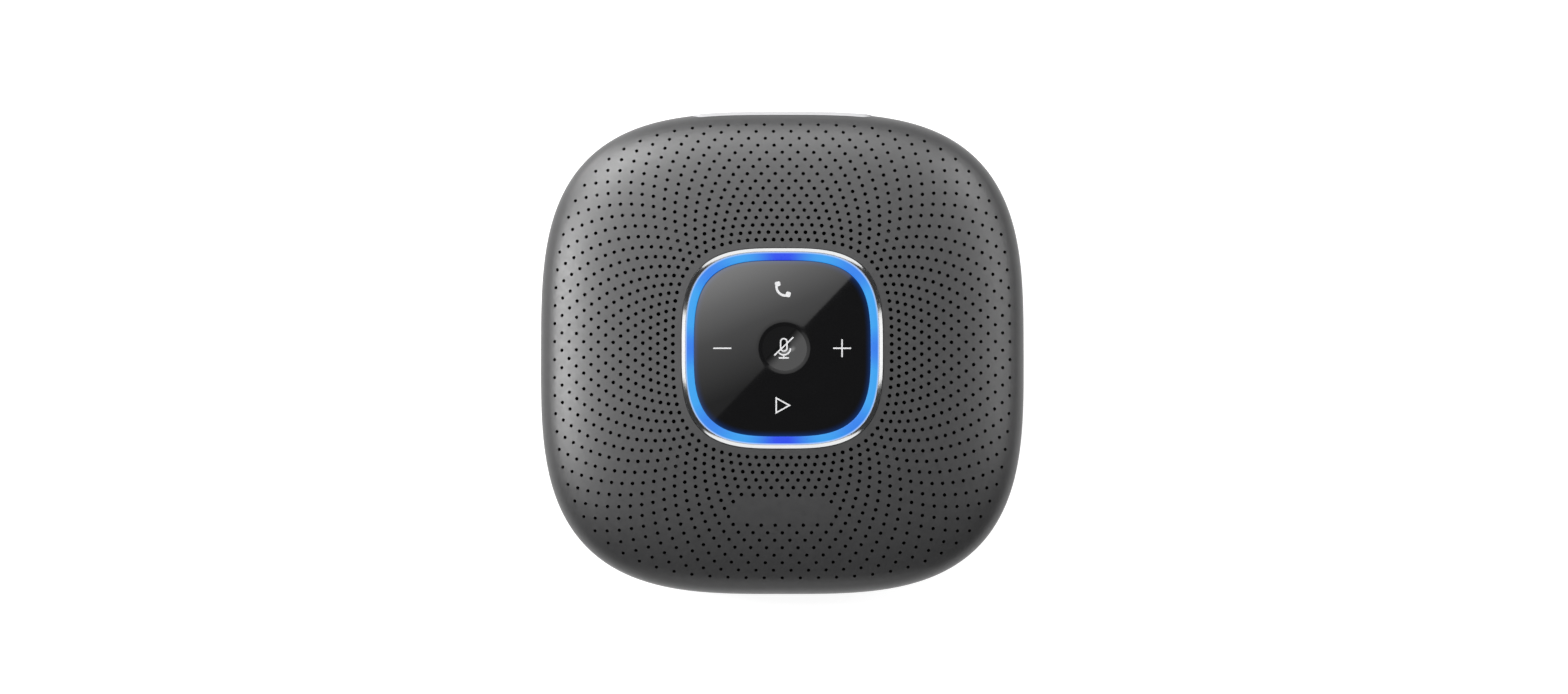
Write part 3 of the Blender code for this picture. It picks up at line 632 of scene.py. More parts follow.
def steel(name="socket_steel", colour=(0.56, 0.56, 0.57), roughness=0.3):
    m = Shader(name, colour, roughness, 1.0)
    m.vary_roughness(m.noise(0.5, 3, stretch=(0.2, 1, 1)), roughness - 0.06, roughness + 0.1)
    m.bump(m.noise(0.15, 2, stretch=(0.15, 1, 1)), 0.002, 0.3)
    return m.material


def circuit_board():
    """Green solder mask with faint lighter copper areas under it."""
    m = Shader("solder_mask", (0.012, 0.09, 0.045), 0.42)
    tracks = m.node("ShaderNodeTexVoronoi", feature="DISTANCE_TO_EDGE", distance="MANHATTAN")
    tracks.inputs["Scale"].default_value = 260
    m.link(m.coordinates, tracks.inputs["Vector"])
    copper = m.spread(tracks.outputs["Distance"], 1, 0, 0.02, 0.06)
    m.mix_colours(copper, (0.01, 0.075, 0.038), (0.02, 0.13, 0.06))
    m.vary_roughness(m.noise(1.0, 3), 0.36, 0.5)
    m.bump(copper, 0.03, 0.5)
    return m.material


def plain_varied(name, first, second, roughness, size_mm, metallic=0.0, bump_mm=0.0):
    """A two-tone noise finish for the hidden pieces."""
    m = Shader(name, first, roughness, metallic)
    m.vary_colour(m.noise(size_mm, 3), first, second)
    m.vary_roughness(m.noise(size_mm / 2, 3), roughness - 0.05, roughness + 0.07)
    if bump_mm:
        m.bump(m.noise(size_mm / 4, 3), bump_mm, 0.5)
    return m.material


def copper_winding():
    """Fine turns of enamelled wire round the coil."""
    m = Shader("coil_winding", (0.62, 0.24, 0.12), 0.3, 0.9)
    turns = m.bands("Z", 1200)
    m.vary_colour(turns, (0.35, 0.12, 0.05), (0.72, 0.3, 0.15))
    m.bump(turns, 0.05, 0.6)
    return m.material


# ---------------------------------------------------------------- the perforated dome


def ring_half(i):
    return FIRST_RING + RING_STEP * i - RING_TIGHTENING * i * i


def is_blank(i, k):
    """The patch without holes on the front of the dome."""
    if i not in BLANK_RINGS:
        return False
    x, y = unit_squircle(HOLES, (i % 2) / 2)[k] * ring_half(i)
    return y < 0 and abs(x) < BLANK_HALF


def perforated_dome(finish, dark):
    """The upper housing as one closed thin shell with a real hole at each place of the pattern.

    The walls of the holes and the inside have a dark finish of their own: painted shade, darker than the
    graphite they are moulded in.
    """
    wall = WALL - 0.1
    opening = BEZEL_RIM + 0.08
    directions = unit_squircle(AROUND)
    outer, inner = [], []

    def add_pair(x, y, normal, z=None):
        """Adds a point of the outer surface, and the one a wall's thickness under it."""
        z = dome_z(squircle_size(x, y)) if z is None else z
        outer.append((x, y, z))
        inner.append((x - normal.x * wall, y - normal.y * wall, z - normal.z * wall))
        return len(outer) - 1

    def add_line(size):
        slope = dome_slope(size)
        return [add_pair(u * size, v * size, outward(u * size, v * size, slope)) for u, v in directions]

    # Lines between the rings, from the opening's side to the rim's.
    sizes = [ring_half(i) for i in range(RINGS)]
    borders = [sizes[0] * 1.5 - sizes[1] * 0.5]
    borders += [(a + b) / 2 for a, b in zip(sizes, sizes[1:])]
    borders.append(sizes[-1] * 1.5 - sizes[-2] * 0.5)
    lines = [add_line(size) for size in borders]

    two_layer, walls = [], []
    for i in range(RINGS):
        shift = (i % 2) / 2
        centres = unit_squircle(HOLES, shift)
        edges = unit_squircle(HOLES, shift - 0.5)
        slope = dome_slope(sizes[i])
        uprights = []
        for u, v in edges:
            column = []
            for q in range(1, QUARTERS):
                size = borders[i] + (borders[i + 1] - borders[i]) * q / QUARTERS
                normal = outward(u * size, v * size, dome_slope(size))
                column.append(add_pair(u * size, v * size, normal))
            uprights.append(column)
        radius = (HOLE_DIAMETER - HOLE_SHRINK * i) / 2
        for k, (u, v) in enumerate(centres):
            first = QUARTERS * k - QUARTERS // 2 + int(shift * QUARTERS)
            span = [(first + j) % AROUND for j in range(QUARTERS + 1)]
            left, right = uprights[k], uprights[(k + 1) % HOLES]
            border = [lines[i + 1][j] for j in span]
            border += right[::-1]
            border += [lines[i][j] for j in reversed(span)]
            border += left
            # The border starts at the rim-side corner at the lower step, and goes round clockwise.
            x, y = u * sizes[i], v * sizes[i]
            normal = outward(x, y, slope)
            if is_blank(i, k):
                centre = add_pair(x, y, normal)
                two_layer += [(a, b, centre) for a, b in zip(border, border[1:] + border[:1])]
                continue
            # The tangent that runs with the ring, and the one that runs from the panel to the rim.
            out = Vector((normal.x, normal.y, 0)).normalized()
            out = (out - normal * out.dot(normal)).normalized()
            round_way = out.cross(normal)
            loop = []
            for j in range(len(border)):
                angle = math.radians(-45 + 360 * j / len(border))
                offset = out * (math.cos(angle) * radius) + round_way * (math.sin(angle) * radius)
                loop.append(add_pair(x + offset.x, y + offset.y, normal))
            count = len(border)
            for j in range(count):
                n = (j + 1) % count
                two_layer.append((border[j], border[n], loop[n], loop[j]))
                walls.append((loop[j], loop[n]))

    # The plain band between the first ring and the panel's opening, with a soft edge.
    band = [lines[0]]
    band_middle = 26.3
    for size in (band_middle, opening + 0.2, opening + 0.06):
        band.append(add_line(size))
    # The plain band out to the equator.
    start = math.asin((borders[-1] / HALF_WIDTH) ** (CROWN_POWER / 2))
    rim = [lines[-1]]
    steps = 12
    for k in range(1, steps + 1):
        a = start + (math.pi / 2 - start) * k / steps
        size = HALF_WIDTH * math.sin(a) ** (2 / CROWN_POWER)
        z = EQUATOR_Z + CROWN * max(math.cos(a), 0) ** (2 / CROWN_POWER)
        slope = dome_slope(size) if k < steps else 1e4  # at the equator the wall is upright
        row = [(u * size, v * size) for u, v in directions]
        rim.append([add_pair(x, y, outward(x, y, slope), z) for x, y in row])
    for a, b in list(zip(band[1:], band[:-1])) + list(zip(rim[:-1], rim[1:])):
        for j in range(AROUND):
            n = (j + 1) % AROUND
            two_layer.append((a[j], a[n], b[n], b[j]))

    count = len(outer)
    points = outer + inner
    faces = [tuple(face) for face in two_layer]
    outside = len(faces)
    faces += [tuple(index + count for index in reversed(face)) for face in two_layer]
    faces += [(a, b, b + count, a + count) for a, b in walls]
    inside = len(faces)

    def close(top, bottom, profile):
        """Joins two lines of points through the levels of a profile."""
        rows = [top]
        for size, z in profile:
            rows.append(list(range(len(points), len(points) + AROUND)))
            points.extend((u * size, v * size, z) for u, v in directions)
        rows.append(bottom)
        for a, b in zip(rows, rows[1:]):
            for j in range(AROUND):
                n = (j + 1) % AROUND
                faces.append((a[j], a[n], b[n], b[j]))

    lip_z = dome_z(opening)
    close(band[-1], [j + count for j in band[-1]], [(opening, lip_z - 0.1), (opening, lip_z - wall + 0.15)])
    rim_z = SEAM_Z + SEAM_GAP / 2
    low = [(bowl_half(z), z) for z in (16.4, 15.8, rim_z + 0.3, rim_z + 0.1)]
    low += [(bowl_half(rim_z) - 0.12, rim_z), (HALF_WIDTH - wall, rim_z), (HALF_WIDTH - wall, rim_z + 0.5)]
    close(rim[-1], [j + count for j in rim[-1]], low)
    shell = mesh_object("dome_shell", points, faces, finish, 50)
    # The second slot is the near-black painted shade of the hole walls and the inside.
    shell.data.materials.append(dark)
    for face in shell.data.polygons[outside:inside]:
        face.material_index = 1
    return shell


def rear_opening(name, grow):
    """The rounded rectangle of the port panel, grown by a margin, through the rear wall."""
    outline = rounded_rectangle(TRIM_HALF + grow, TRIM_HALF_HIGH + grow, PANEL_CORNER + grow, 12)
    return prism(name, outline, "Y", *REAR_CUT, centre=(0, TRIM_MIDDLE))


def upper_shell(finish, dark):
    dome = perforated_dome(finish, dark)
    boolean(dome, "DIFFERENCE", rear_opening("rear_notch", PORT_GAP))
    parts = [dome]
    for k, (x, y) in enumerate(BOSSES):
        top = dome_z(squircle_size(x, y)) - WALL + 0.1
        tube = [(2.9, 14.5), (2.9, top), (1.4, top), (1.4, 14.9), (1.7, 14.5)]
        pillar = turned(f"pillar_{k}", unit_circle(32), tube, closed=True)
        pillar.data.transform(matrix_move(x, y))
        parts.append(pillar)
    shell = joined("dome_shell", parts, finish, dark)
    return fit_out(shell, "root", "graphite_shell", "upper_housing")


def matrix_move(x, y, z=0.0):
    return Matrix.Translation((x * MM, y * MM, z * MM))


# ---------------------------------------------------------------- the lower body


def side_opening(name, grow):
    """The rounded rectangle of the side port cover, grown by a margin, through the right wall."""
    outline = rounded_rectangle(FLAP_HALF + grow, FLAP_HALF_HIGH + grow, 2 + grow, 10)
    return prism(name, outline, "X", 45, 66, centre=(0, FLAP_MIDDLE))


def lower_shell(finish):
    """The bowl with its seam lip, foot recess, bosses, microphone holes and port openings."""
    around = 224
    outline = unit_squircle(around)
    seam = SEAM_Z - SEAM_GAP / 2
    recess = FOOT_OUTER + 0.4
    under = [(recess, BASE_Z + 0.8), (recess, BASE_Z + 0.12), (recess + 0.12, BASE_Z)]
    outer = bowl_profile(seam - 0.1, HALF_WIDTH, BASE_HALF, BASE_Z, 22)[::-1]
    lip = [(outer[-1][0] - 0.12, seam), (58.9, seam), (58.9, seam + 1.5), (58.75, seam + 1.65)]
    lip += [(58.15, seam + 1.65), (58.0, seam + 1.5), (58.0, seam - 0.6)]
    inner = bowl_profile(seam - 1.4, HALF_WIDTH - WALL, BASE_HALF - WALL, FLOOR_Z, 12)
    shell = turned("bowl_shell", outline, under + outer + lip + inner, finish)
    for k, place in enumerate(BOSSES):
        boolean(shell, "UNION", cylinder(f"boss_{k}", 3.9, "Z", FLOOR_Z - 0.5, 14.1, place))
        boolean(shell, "DIFFERENCE", cylinder(f"seat_{k}", 2.8, "Z", 1, 4.8, place))
        boolean(shell, "DIFFERENCE", cylinder(f"bore_{k}", 1.5, "Z", 1, 15.1, place))
    for k, degrees in enumerate(MIC_ANGLES):
        x, y, heading = on_squircle(HALF_WIDTH, degrees)
        hole = cylinder(f"mic_hole_{k}", 0.6, "X", -4, 3, sides=32)
        hole.location = (x * MM, y * MM, MIC_Z * MM)
        hole.rotation_euler = (0, 0, heading)
        bpy.context.view_layer.update()
        boolean(shell, "DIFFERENCE", hole)
    boolean(shell, "DIFFERENCE", rear_opening("rear_notch", PORT_GAP))
    boolean(shell, "DIFFERENCE", side_opening("side_notch", PORT_GAP))
    smooth_again(shell)
    return fit_out(shell, "root", "graphite_shell", "lower_housing")


def underside(rubber_finish, plastic):
    """Foot ring with two fine grooves, and the plate inside it with a stepped edge."""
    outline = unit_squircle(224)
    inner = FOOT_OUTER - 5.2
    step = 0.5
    foot = [(inner, FOOT_TOP), (inner, 0.45), (inner + 0.12, 0.15), (inner + 0.45, 0)]
    groove = 0.28
    for middle in (inner + 1.7, inner + 3.5):
        foot += [(middle - step, 0), (middle - step * 0.5, groove)]
        foot += [(middle + step * 0.5, groove), (middle + step, 0)]
    foot += [(FOOT_OUTER - 0.45, 0), (FOOT_OUTER - 0.12, 0.15), (FOOT_OUTER, 0.45), (FOOT_OUTER, FOOT_TOP)]
    ring = turned("foot_ring_rubber", outline, foot, rubber_finish, closed=True, sharp=50)
    fit_out(ring, "root", "foot_rubber", "foot_ring")
    edge = PLATE_HALF
    plate = [(edge, PLATE_HIGH), (edge, PLATE_LOW + 0.2)]
    plate += [(edge - 0.06, PLATE_LOW + 0.06), (edge - 0.2, PLATE_LOW)]
    plate += [(edge - 2.6, PLATE_LOW), (edge - 2.7, PLATE_LOW + 0.1), (edge - 2.75, PLATE_LOW + 0.22)]
    plate += [(1.0, PLATE_LOW + 0.22)]
    cover = turned("base_cover", outline, plate, plastic)
    fit_out(cover, "root", "dark_plastic", "base_plate")


# ---------------------------------------------------------------- the control panel


def dish_drop(x, y):
    """How far the lens is below its flat face: a very slight shoulder, and the dish inside it."""
    radius = math.hypot(x - DISH_X, y)
    outside = min(max(radius / DISH_RADIUS - 1, 0) * DISH_RADIUS / SHOULDER_WIDTH, 1)
    inside = max(1 - (radius / DISH_RADIUS) ** 2, 0)
    return SHOULDER_DROP * (1 - outside) ** 2 + DISH_DEPTH * inside


def bezel(finish):
    """A slim ring whose top face falls a little towards the dome, with softened edges."""
    crest = BEZEL_TOP - 0.04
    corners = [(BEZEL_BORE, BEZEL_LOW), (BEZEL_RIM, BEZEL_LOW), (BEZEL_RIM, crest - 0.42)]
    corners += [(BEZEL_BORE + 0.1, crest), (BEZEL_BORE, crest - 0.04)]
    profile = softened(corners, (0, 0, 0.08, 0.05, 0.03))
    ring = turned("bezel_ring", unit_squircle(480), profile, finish, closed=True, sharp=60)
    return fit_out(ring, "root", "bezel_chrome", "panel_bezel")


def light_guide(finish):
    inner, outer = LENS_EDGE + 0.04, BEZEL_BORE - 0.03
    corners = [(inner, LIGHT_LOW), (outer, LIGHT_LOW), (outer, LIGHT_TOP), (inner, LIGHT_TOP)]
    profile = softened(corners, (0, 0, 0.1, 0.1))
    ring = turned("light_guide", unit_squircle(288), profile, finish, closed=True, sharp=60)
    return fit_out(ring, "root", "light_diffuser", "light_ring")


def lens(finish):
    """Black lens with a softened edge and a round dish. Its rows pass from squircle to circle."""
    around = 288
    squircle = unit_squircle(around)
    # The circle's points lie on the same rays as the squircle's, so that the rows don't twist.
    angle = np.arctan2(squircle[:, 0], squircle[:, 1])
    circle = np.column_stack([np.sin(angle), np.cos(angle)])
    rings = [level(squircle, LENS_EDGE, LENS_LOW)]
    bend = 0.12
    for share in (0, 0.33, 0.67, 1):
        a = math.pi / 2 * share
        size, z = LENS_EDGE - bend * (1 - math.cos(a)), LENS_TOP - bend * (1 - math.sin(a))
        rings.append(level(squircle, size, z))
    # A row just inside the rounded edge keeps its shading off the flat face.
    flat = LENS_EDGE - bend - 0.06
    rings.append(level(squircle, flat, LENS_TOP))
    outside = DISH_RADIUS + SHOULDER_WIDTH + 0.4
    for share in (0.25, 0.5, 0.75, 1):
        row = squircle * flat * (1 - share) + circle * outside * share
        rings.append([(x + DISH_X * share, y, LENS_TOP) for x, y in row])
    # Close rows on both sides of the dish's edge keep that edge crisp.
    radii = list(np.linspace(outside, DISH_RADIUS + 0.25, 13)[1:])
    radii += [DISH_RADIUS + 0.04, DISH_RADIUS, DISH_RADIUS - 0.04]
    radii += list(np.linspace(DISH_RADIUS - 0.25, 0.2, 30))
    for radius in radii:
        row = [(x * radius + DISH_X, y * radius) for x, y in circle]
        rings.append([(x, y, LENS_TOP - dish_drop(x, y)) for x, y in row])
    rings.append([(DISH_X, 0.0, LENS_TOP - dish_drop(DISH_X, 0))])
    piece = skin("lens_panel", rings, finish, sharp=60)
    return fit_out(piece, "root", "lens_gloss", "control_lens")


# ---------------------------------------------------------------- printed symbols


def arc(cx, cy, radius, start, end, steps=24):
    """Points along an arc, in degrees anticlockwise from +X."""
    angles = [math.radians(start + (end - start) * k / steps) for k in range(steps + 1)]
    return [(cx + radius * math.cos(a), cy + radius * math.sin(a)) for a in angles]


def straight(a, b, steps=8):
    return [(a[0] + (b[0] - a[0]) * k / steps, a[1] + (b[1] - a[1]) * k / steps) for k in range(steps + 1)]


def path_through(corners, steps=6):
    points = []
    for a, b in zip(corners, corners[1:]):
        points += straight(a, b, steps)[:-1]
    return points + [corners[-1]]


def stroke(points, width, closed=False):
    """(left edge, right edge) of a line of this width along the points. Open ends are square."""
    left, right = [], []
    count = len(points)
    for k, (x, y) in enumerate(points):
        if closed:
            (ax, ay), (bx, by) = points[k - 1], points[(k + 1) % count]
        else:
            (ax, ay), (bx, by) = points[max(k - 1, 0)], points[min(k + 1, count - 1)]
        size = math.hypot(bx - ax, by - ay)
        nx, ny = -(by - ay) / size, (bx - ax) / size
        left.append((x + nx * width / 2, y + ny * width / 2))
        right.append((x - nx * width / 2, y - ny * width / 2))
    return left, right


def ink_strip(edges, height, thickness=0.02, closed=False):
    """Points and faces of a thin closed strip of print between two edges. height(x, y) is its top."""
    left, right = edges
    points, faces = [], []
    for (lx, ly), (rx, ry) in zip(left, right):
        for x, y in ((lx, ly), (rx, ry)):
            points.append((x, y, height(x, y)))
            points.append((x, y, height(x, y) - thickness))
    count = len(left)
    last = count if closed else count - 1
    for k in range(last):
        a, b = 4 * k, 4 * ((k + 1) % count)
        faces += [(a, a + 2, b + 2, b), (a + 1, b + 1, b + 3, a + 3)]
        faces += [(a, b, b + 1, a + 1), (a + 2, a + 3, b + 3, b + 2)]
    if not closed:
        end = 4 * (count - 1)
        faces += [(0, 1, 3, 2), (end, end + 2, end + 3, end + 1)]
    return points, faces


def ink_patch(outline, height, thickness=0.02):
    """Points and faces of a filled patch of print."""
    count = len(outline)
    points = [(x, y, height(x, y)) for x, y in outline]
    points += [(x, y, height(x, y) - thickness) for x, y in outline]
    faces = [tuple(range(count)), tuple(reversed(range(count, 2 * count)))]
    faces += [(k, k + count, (k + 1) % count + count, (k + 1) % count) for k in range(count)]
    return points, faces


def printed(name, parts, finish):
    """One object from several patches and strips of print."""
    points, faces = [], []
    for more_points, more_faces in parts:
        start = len(points)
        points += more_points
        faces += [tuple(index + start for index in face) for face in more_faces]
    return mesh_object(name, points, faces, finish, 60)


def on_lens(lift=0.012):
    return lambda x, y: LENS_TOP - dish_drop(x, y) + lift


def symbol_minus(height):
    return [ink_strip(stroke(straight((-17.35, 0), (-12.8, 0)), LINE), height)]


def symbol_plus(height):
    across = ink_strip(stroke(straight((12.75, 0), (17.25, 0)), LINE), height)
    upper = ink_strip(stroke(straight((15.0, LINE / 2), (15.0, 2.25)), LINE), height)
    lower = ink_strip(stroke(straight((15.0, -2.25), (15.0, -LINE / 2)), LINE), height)
    return [across, upper, lower]


def symbol_play(height):
    """Outlined triangle that points right."""
    centre_y = -14.4
    corners = [(-1.7, centre_y + 2.15), (2.15, centre_y), (-1.7, centre_y - 2.15)]
    inside = offset_triangle(corners, LINE)
    outside = path_through(corners + corners[:1], 6)[:-1]
    within = path_through(inside + inside[:1], 6)[:-1]
    return [ink_strip((outside, within), height, closed=True)]


def offset_triangle(corners, width):
    """The triangle moved in by a width on all its sides."""
    (ax, ay), (bx, by), (cx, cy) = corners
    sides = [math.dist((bx, by), (cx, cy)), math.dist((cx, cy), (ax, ay)), math.dist((ax, ay), (bx, by))]
    total = sum(sides)
    centre = tuple((sides[0] * p + sides[1] * q + sides[2] * r) / total for p, q, r in zip(*corners))
    area = abs((bx - ax) * (cy - ay) - (cx - ax) * (by - ay)) / 2
    inner_radius = 2 * area / total
    share = (inner_radius - width) / inner_radius
    return [(centre[0] + (x - centre[0]) * share, centre[1] + (y - centre[1]) * share) for x, y in corners]


def symbol_call(height):
    """A telephone handset, its earpiece at the upper left and its mouthpiece at the lower right."""
    cx, cy = 0, 14.75
    turn = math.radians(-45)

    def place(points):
        c, s = math.cos(turn), math.sin(turn)
        return [(cx + x * c - y * s, cy + x * s + y * c) for x, y in points]

    # Drawn level, with the handle below the two ends, and then turned.
    handle = arc(0, 1.13, 2.25, 207, 333, 32)
    middle = ink_strip(stroke(place(handle), 0.6), height)
    ends = []
    for side in (-1, 1):
        block = rounded_rectangle(0.6, 0.68, 0.38, 5)
        lean = math.radians(side * 30)
        c, s = math.cos(lean), math.sin(lean)
        shifted = [(side * 1.86 + u * c - v * s, 0.22 + u * s + v * c) for u, v in block]
        ends.append(ink_patch(place(shifted), lambda x, y: height(x, y) + 0.003))
    return [middle] + ends


def symbol_mute(height):
    """A microphone with a stroke through it, in the dish."""
    reach, top, bottom = 0.8, 1.8, 0.28
    capsule = arc(0, top, reach, 0, 180, 16) + arc(0, bottom, reach, 180, 360, 16)
    dense = []
    for a, b in zip(capsule, capsule[1:] + capsule[:1]):
        parts = max(int(math.dist(a, b) / 0.25), 1)
        dense += straight(a, b, parts)[:-1]
    cradle = arc(0, 0.15, 1.65, 222, 360, 28)  # its left arm stops at the stroke
    stem = straight((0, -1.7), (0, -2.05), 3)
    base = straight((-1.25, -2.27), (1.25, -2.27), 10)
    slash = straight((-2.4, -1.65), (2.4, 2.95), 24)

    def strip(points, closed=False, lift=0.0):
        moved = [(x + MUTE_X, y + MUTE_Y) for x, y in points]
        return ink_strip(stroke(moved, LINE, closed), lambda x, y: height(x, y) + lift, closed=closed)

    return [strip(dense, closed=True), strip(cradle), strip(stem), strip(base), strip(slash, lift=0.003)]


def symbols(finish):
    height = on_lens()
    for name, draw in (
        ("symbol_minus", symbol_minus),
        ("symbol_plus", symbol_plus),
        ("symbol_play", symbol_play),
        ("symbol_call", symbol_call),
        ("symbol_mute", symbol_mute),
    ):
        fit_out(printed(name, draw(height), finish), "root", "lens_gloss")


# ---------------------------------------------------------------- the rear ports


def on_wall(outline, half_width, centre_z):
    """The outline, in x and z, laid on the vertical wall of this squircle on the rear side."""
    return [(x, squircle_edge(half_width, x), centre_z + z) for x, z in outline]


def port_trim(finish):
    """Bright rounded frame, flush with the widest line of the body."""
    edge, depth_in = 0.18, 2.4

    def outline(inset):
        corner = max(PANEL_CORNER - inset, 0.5)
        return rounded_rectangle(TRIM_HALF - inset, TRIM_HALF_HIGH - inset, corner, 12, 40)

    # (inset, depth) over the outer softened edge, and the same mirrored for the inner one.
    outer = [(0, depth_in), (0, edge), (edge * 0.3, edge * 0.3), (edge, 0)]
    inner = [(PANEL_FRAME - inset, depth) for inset, depth in reversed(outer)]
    rings = [on_wall(outline(inset), HALF_WIDTH - depth, TRIM_MIDDLE) for inset, depth in outer + inner]
    trim = skin("port_trim", rings, finish, closed=True)
    return fit_out(trim, "root", "port_trim_metal", "rear_port_trim")


def port_panel(finish, names):
    """The dark insert with its key holes, socket mouth and microphone hole."""
    gap, front, back, bevel = 0.12, 0.4, 2.8, 0.12

    def outline(inset):
        half, half_high, corner = TRIM_HALF - inset, TRIM_HALF_HIGH - inset, PANEL_CORNER - inset
        return rounded_rectangle(half, half_high, corner, 12, 40)

    edge = outline(PANEL_FRAME + gap)
    rings = [
        on_wall(edge, HALF_WIDTH - back, TRIM_MIDDLE),
        on_wall(edge, HALF_WIDTH - front - bevel, TRIM_MIDDLE),
        on_wall(outline(PANEL_FRAME + gap + bevel), HALF_WIDTH - front, TRIM_MIDDLE),
    ]
    panel = skin("port_panel", rings, finish, strips=True)
    for name in names:
        low, high = node_mm(name)
        centre = ((low[0] + high[0]) / 2, (low[2] + high[2]) / 2)
        boolean(panel, "DIFFERENCE", cylinder("key_hole", 3.22, "Y", *REAR_CUT, centre, 64))
    usb_x = (USB_C_LOW[0] + USB_C_HIGH[0]) / 2
    mouth = rounded_rectangle(4.72, 1.83, 1.8, 12)
    boolean(panel, "DIFFERENCE", prism("usb_mouth", mouth, "Y", *REAR_CUT, centre=(usb_x, PORT_Z)))
    boolean(panel, "DIFFERENCE", cylinder("mic_mouth", 0.6, "Y", *REAR_CUT, (0, MIC_Z), 32))
    smooth_again(panel)
    return fit_out(panel, "root", "dark_plastic", "rear_port_panel")


def key_cap(name, node, body, finish, ink, draw):
    """A round key with a dished face, its flange and stem, and a printed symbol."""
    low, high = node_mm(node)
    cx, cz, face_y = (low[0] + high[0]) / 2, (low[2] + high[2]) / 2, high[1]
    radius, stem, flange = 3.0, 0.9, 3.7
    flange_back, flange_front = 56.3, 57.2
    circle = unit_circle(64)
    steps = [(stem, low[1]), (stem, flange_back), (flange, flange_back), (flange, flange_front)]
    steps += [(radius, flange_front), (radius, face_y - 0.45)]
    for k in range(1, 6):
        a = math.pi / 2 * k / 5
        steps.append((radius - 0.4 * (1 - math.cos(a)), face_y - 0.45 + 0.4 * math.sin(a) + 0.05 * (k == 5)))
    steps += [(1.9, face_y - 0.03), (1.2, face_y - 0.1), (0.6, face_y - 0.13)]
    rings = [[(cx + u * r, y, cz + v * r) for u, v in circle] for r, y in steps]
    rings.append([(cx, face_y - 0.14, cz)])
    cap = skin(name, rings, finish)
    fit_out(cap, body, "button_plastic", node)

    def dished(u, v):
        return face_y - 0.14 + 0.14 * min(math.hypot(u, v) / 2.2, 1) ** 2 + 0.015

    mark = printed(f"{name}_mark", draw(dished), ink)
    # The symbol is drawn looking at the rear of the unit: its right is -X, its top is +Z.
    for vertex in mark.data.vertices:
        u, v, depth = vertex.co.x / MM, vertex.co.y / MM, vertex.co.z / MM
        vertex.co = ((cx - u) * MM, depth * MM, (cz + v) * MM)
    mark.data.update()
    flip_out(mark)
    fit_out(mark, body, "button_plastic")


def flip_out(obj):
    work = bmesh.new()
    work.from_mesh(obj.data)
    bmesh.ops.recalc_face_normals(work, faces=work.faces)
    work.to_mesh(obj.data)
    work.free()


def mark_power(height):
    """The usual on-off mark: an open ring and a bar."""
    ring = ink_strip(stroke(arc(0, -0.1, 1.1, 125, 415, 36), 0.26), height)
    bar = ink_strip(stroke(straight((0, 0.15), (0, 1.45), 5), 0.26), height)
    return [ring, bar]


def mark_wireless(height):
    """A dot with two arcs over it, for the pairing key."""
    dot = ink_patch([(u * 0.26, v * 0.26 - 0.85) for u, v in unit_circle(20)], height)
    arcs = [ink_strip(stroke(arc(0, -0.85, r, 45, 135, 16), 0.26), height) for r in (0.9, 1.6)]
    bars = ink_strip(stroke(arc(0, -0.85, 2.3, 45, 135, 20), 0.26), height)
    return [dot, bars] + arcs


def usb_c_socket(finish, tongue_finish):
    """Formed shell with a rolled mouth, and a tongue with its contacts."""
    low, high = USB_C_LOW, USB_C_HIGH
    cx, cz = (low[0] + high[0]) / 2, (low[2] + high[2]) / 2
    half_u, half_v = (high[0] - low[0]) / 2, (high[2] - low[2]) / 2

    def outline(inset):
        corner = min(1.5, half_v) - inset
        return [(cx + u, cz + v) for u, v in rounded_rectangle(half_u - inset, half_v - inset, corner, 10)]

    rings = []
    front, floor_y = high[1], 52.4
    levels = ((0, low[1]), (0, front - 0.1), (0.1, front), (0.2, front), (0.3, front - 0.1), (0.3, floor_y))
    for inset, y in levels:
        rings.append([(u, y, v) for u, v in outline(inset)])
    shell = skin("usb_c_shell", rings, finish)
    fit_out(shell, "root", "socket_steel", "usb_c_receptacle")
    tongue = prism("usb_c_tongue", rounded_rectangle(3.35, 0.35, 0.12, 4), "Y", 52.5, 59.2, centre=(cx, cz))
    parts = [tongue]
    for side in (-1, 1):
        for k in range(12):
            centre = (cx + (k - 5.5) * 0.5, cz + side * 0.36)
            parts.append(prism("pad", rounded_rectangle(0.13, 0.02, 0.01, 1), "Y", 54.5, 58.6, centre=centre))
    piece = joined("usb_c_tongue", parts, tongue_finish)
    fit_out(piece, "root", "dark_plastic")


# ---------------------------------------------------------------- the side cover


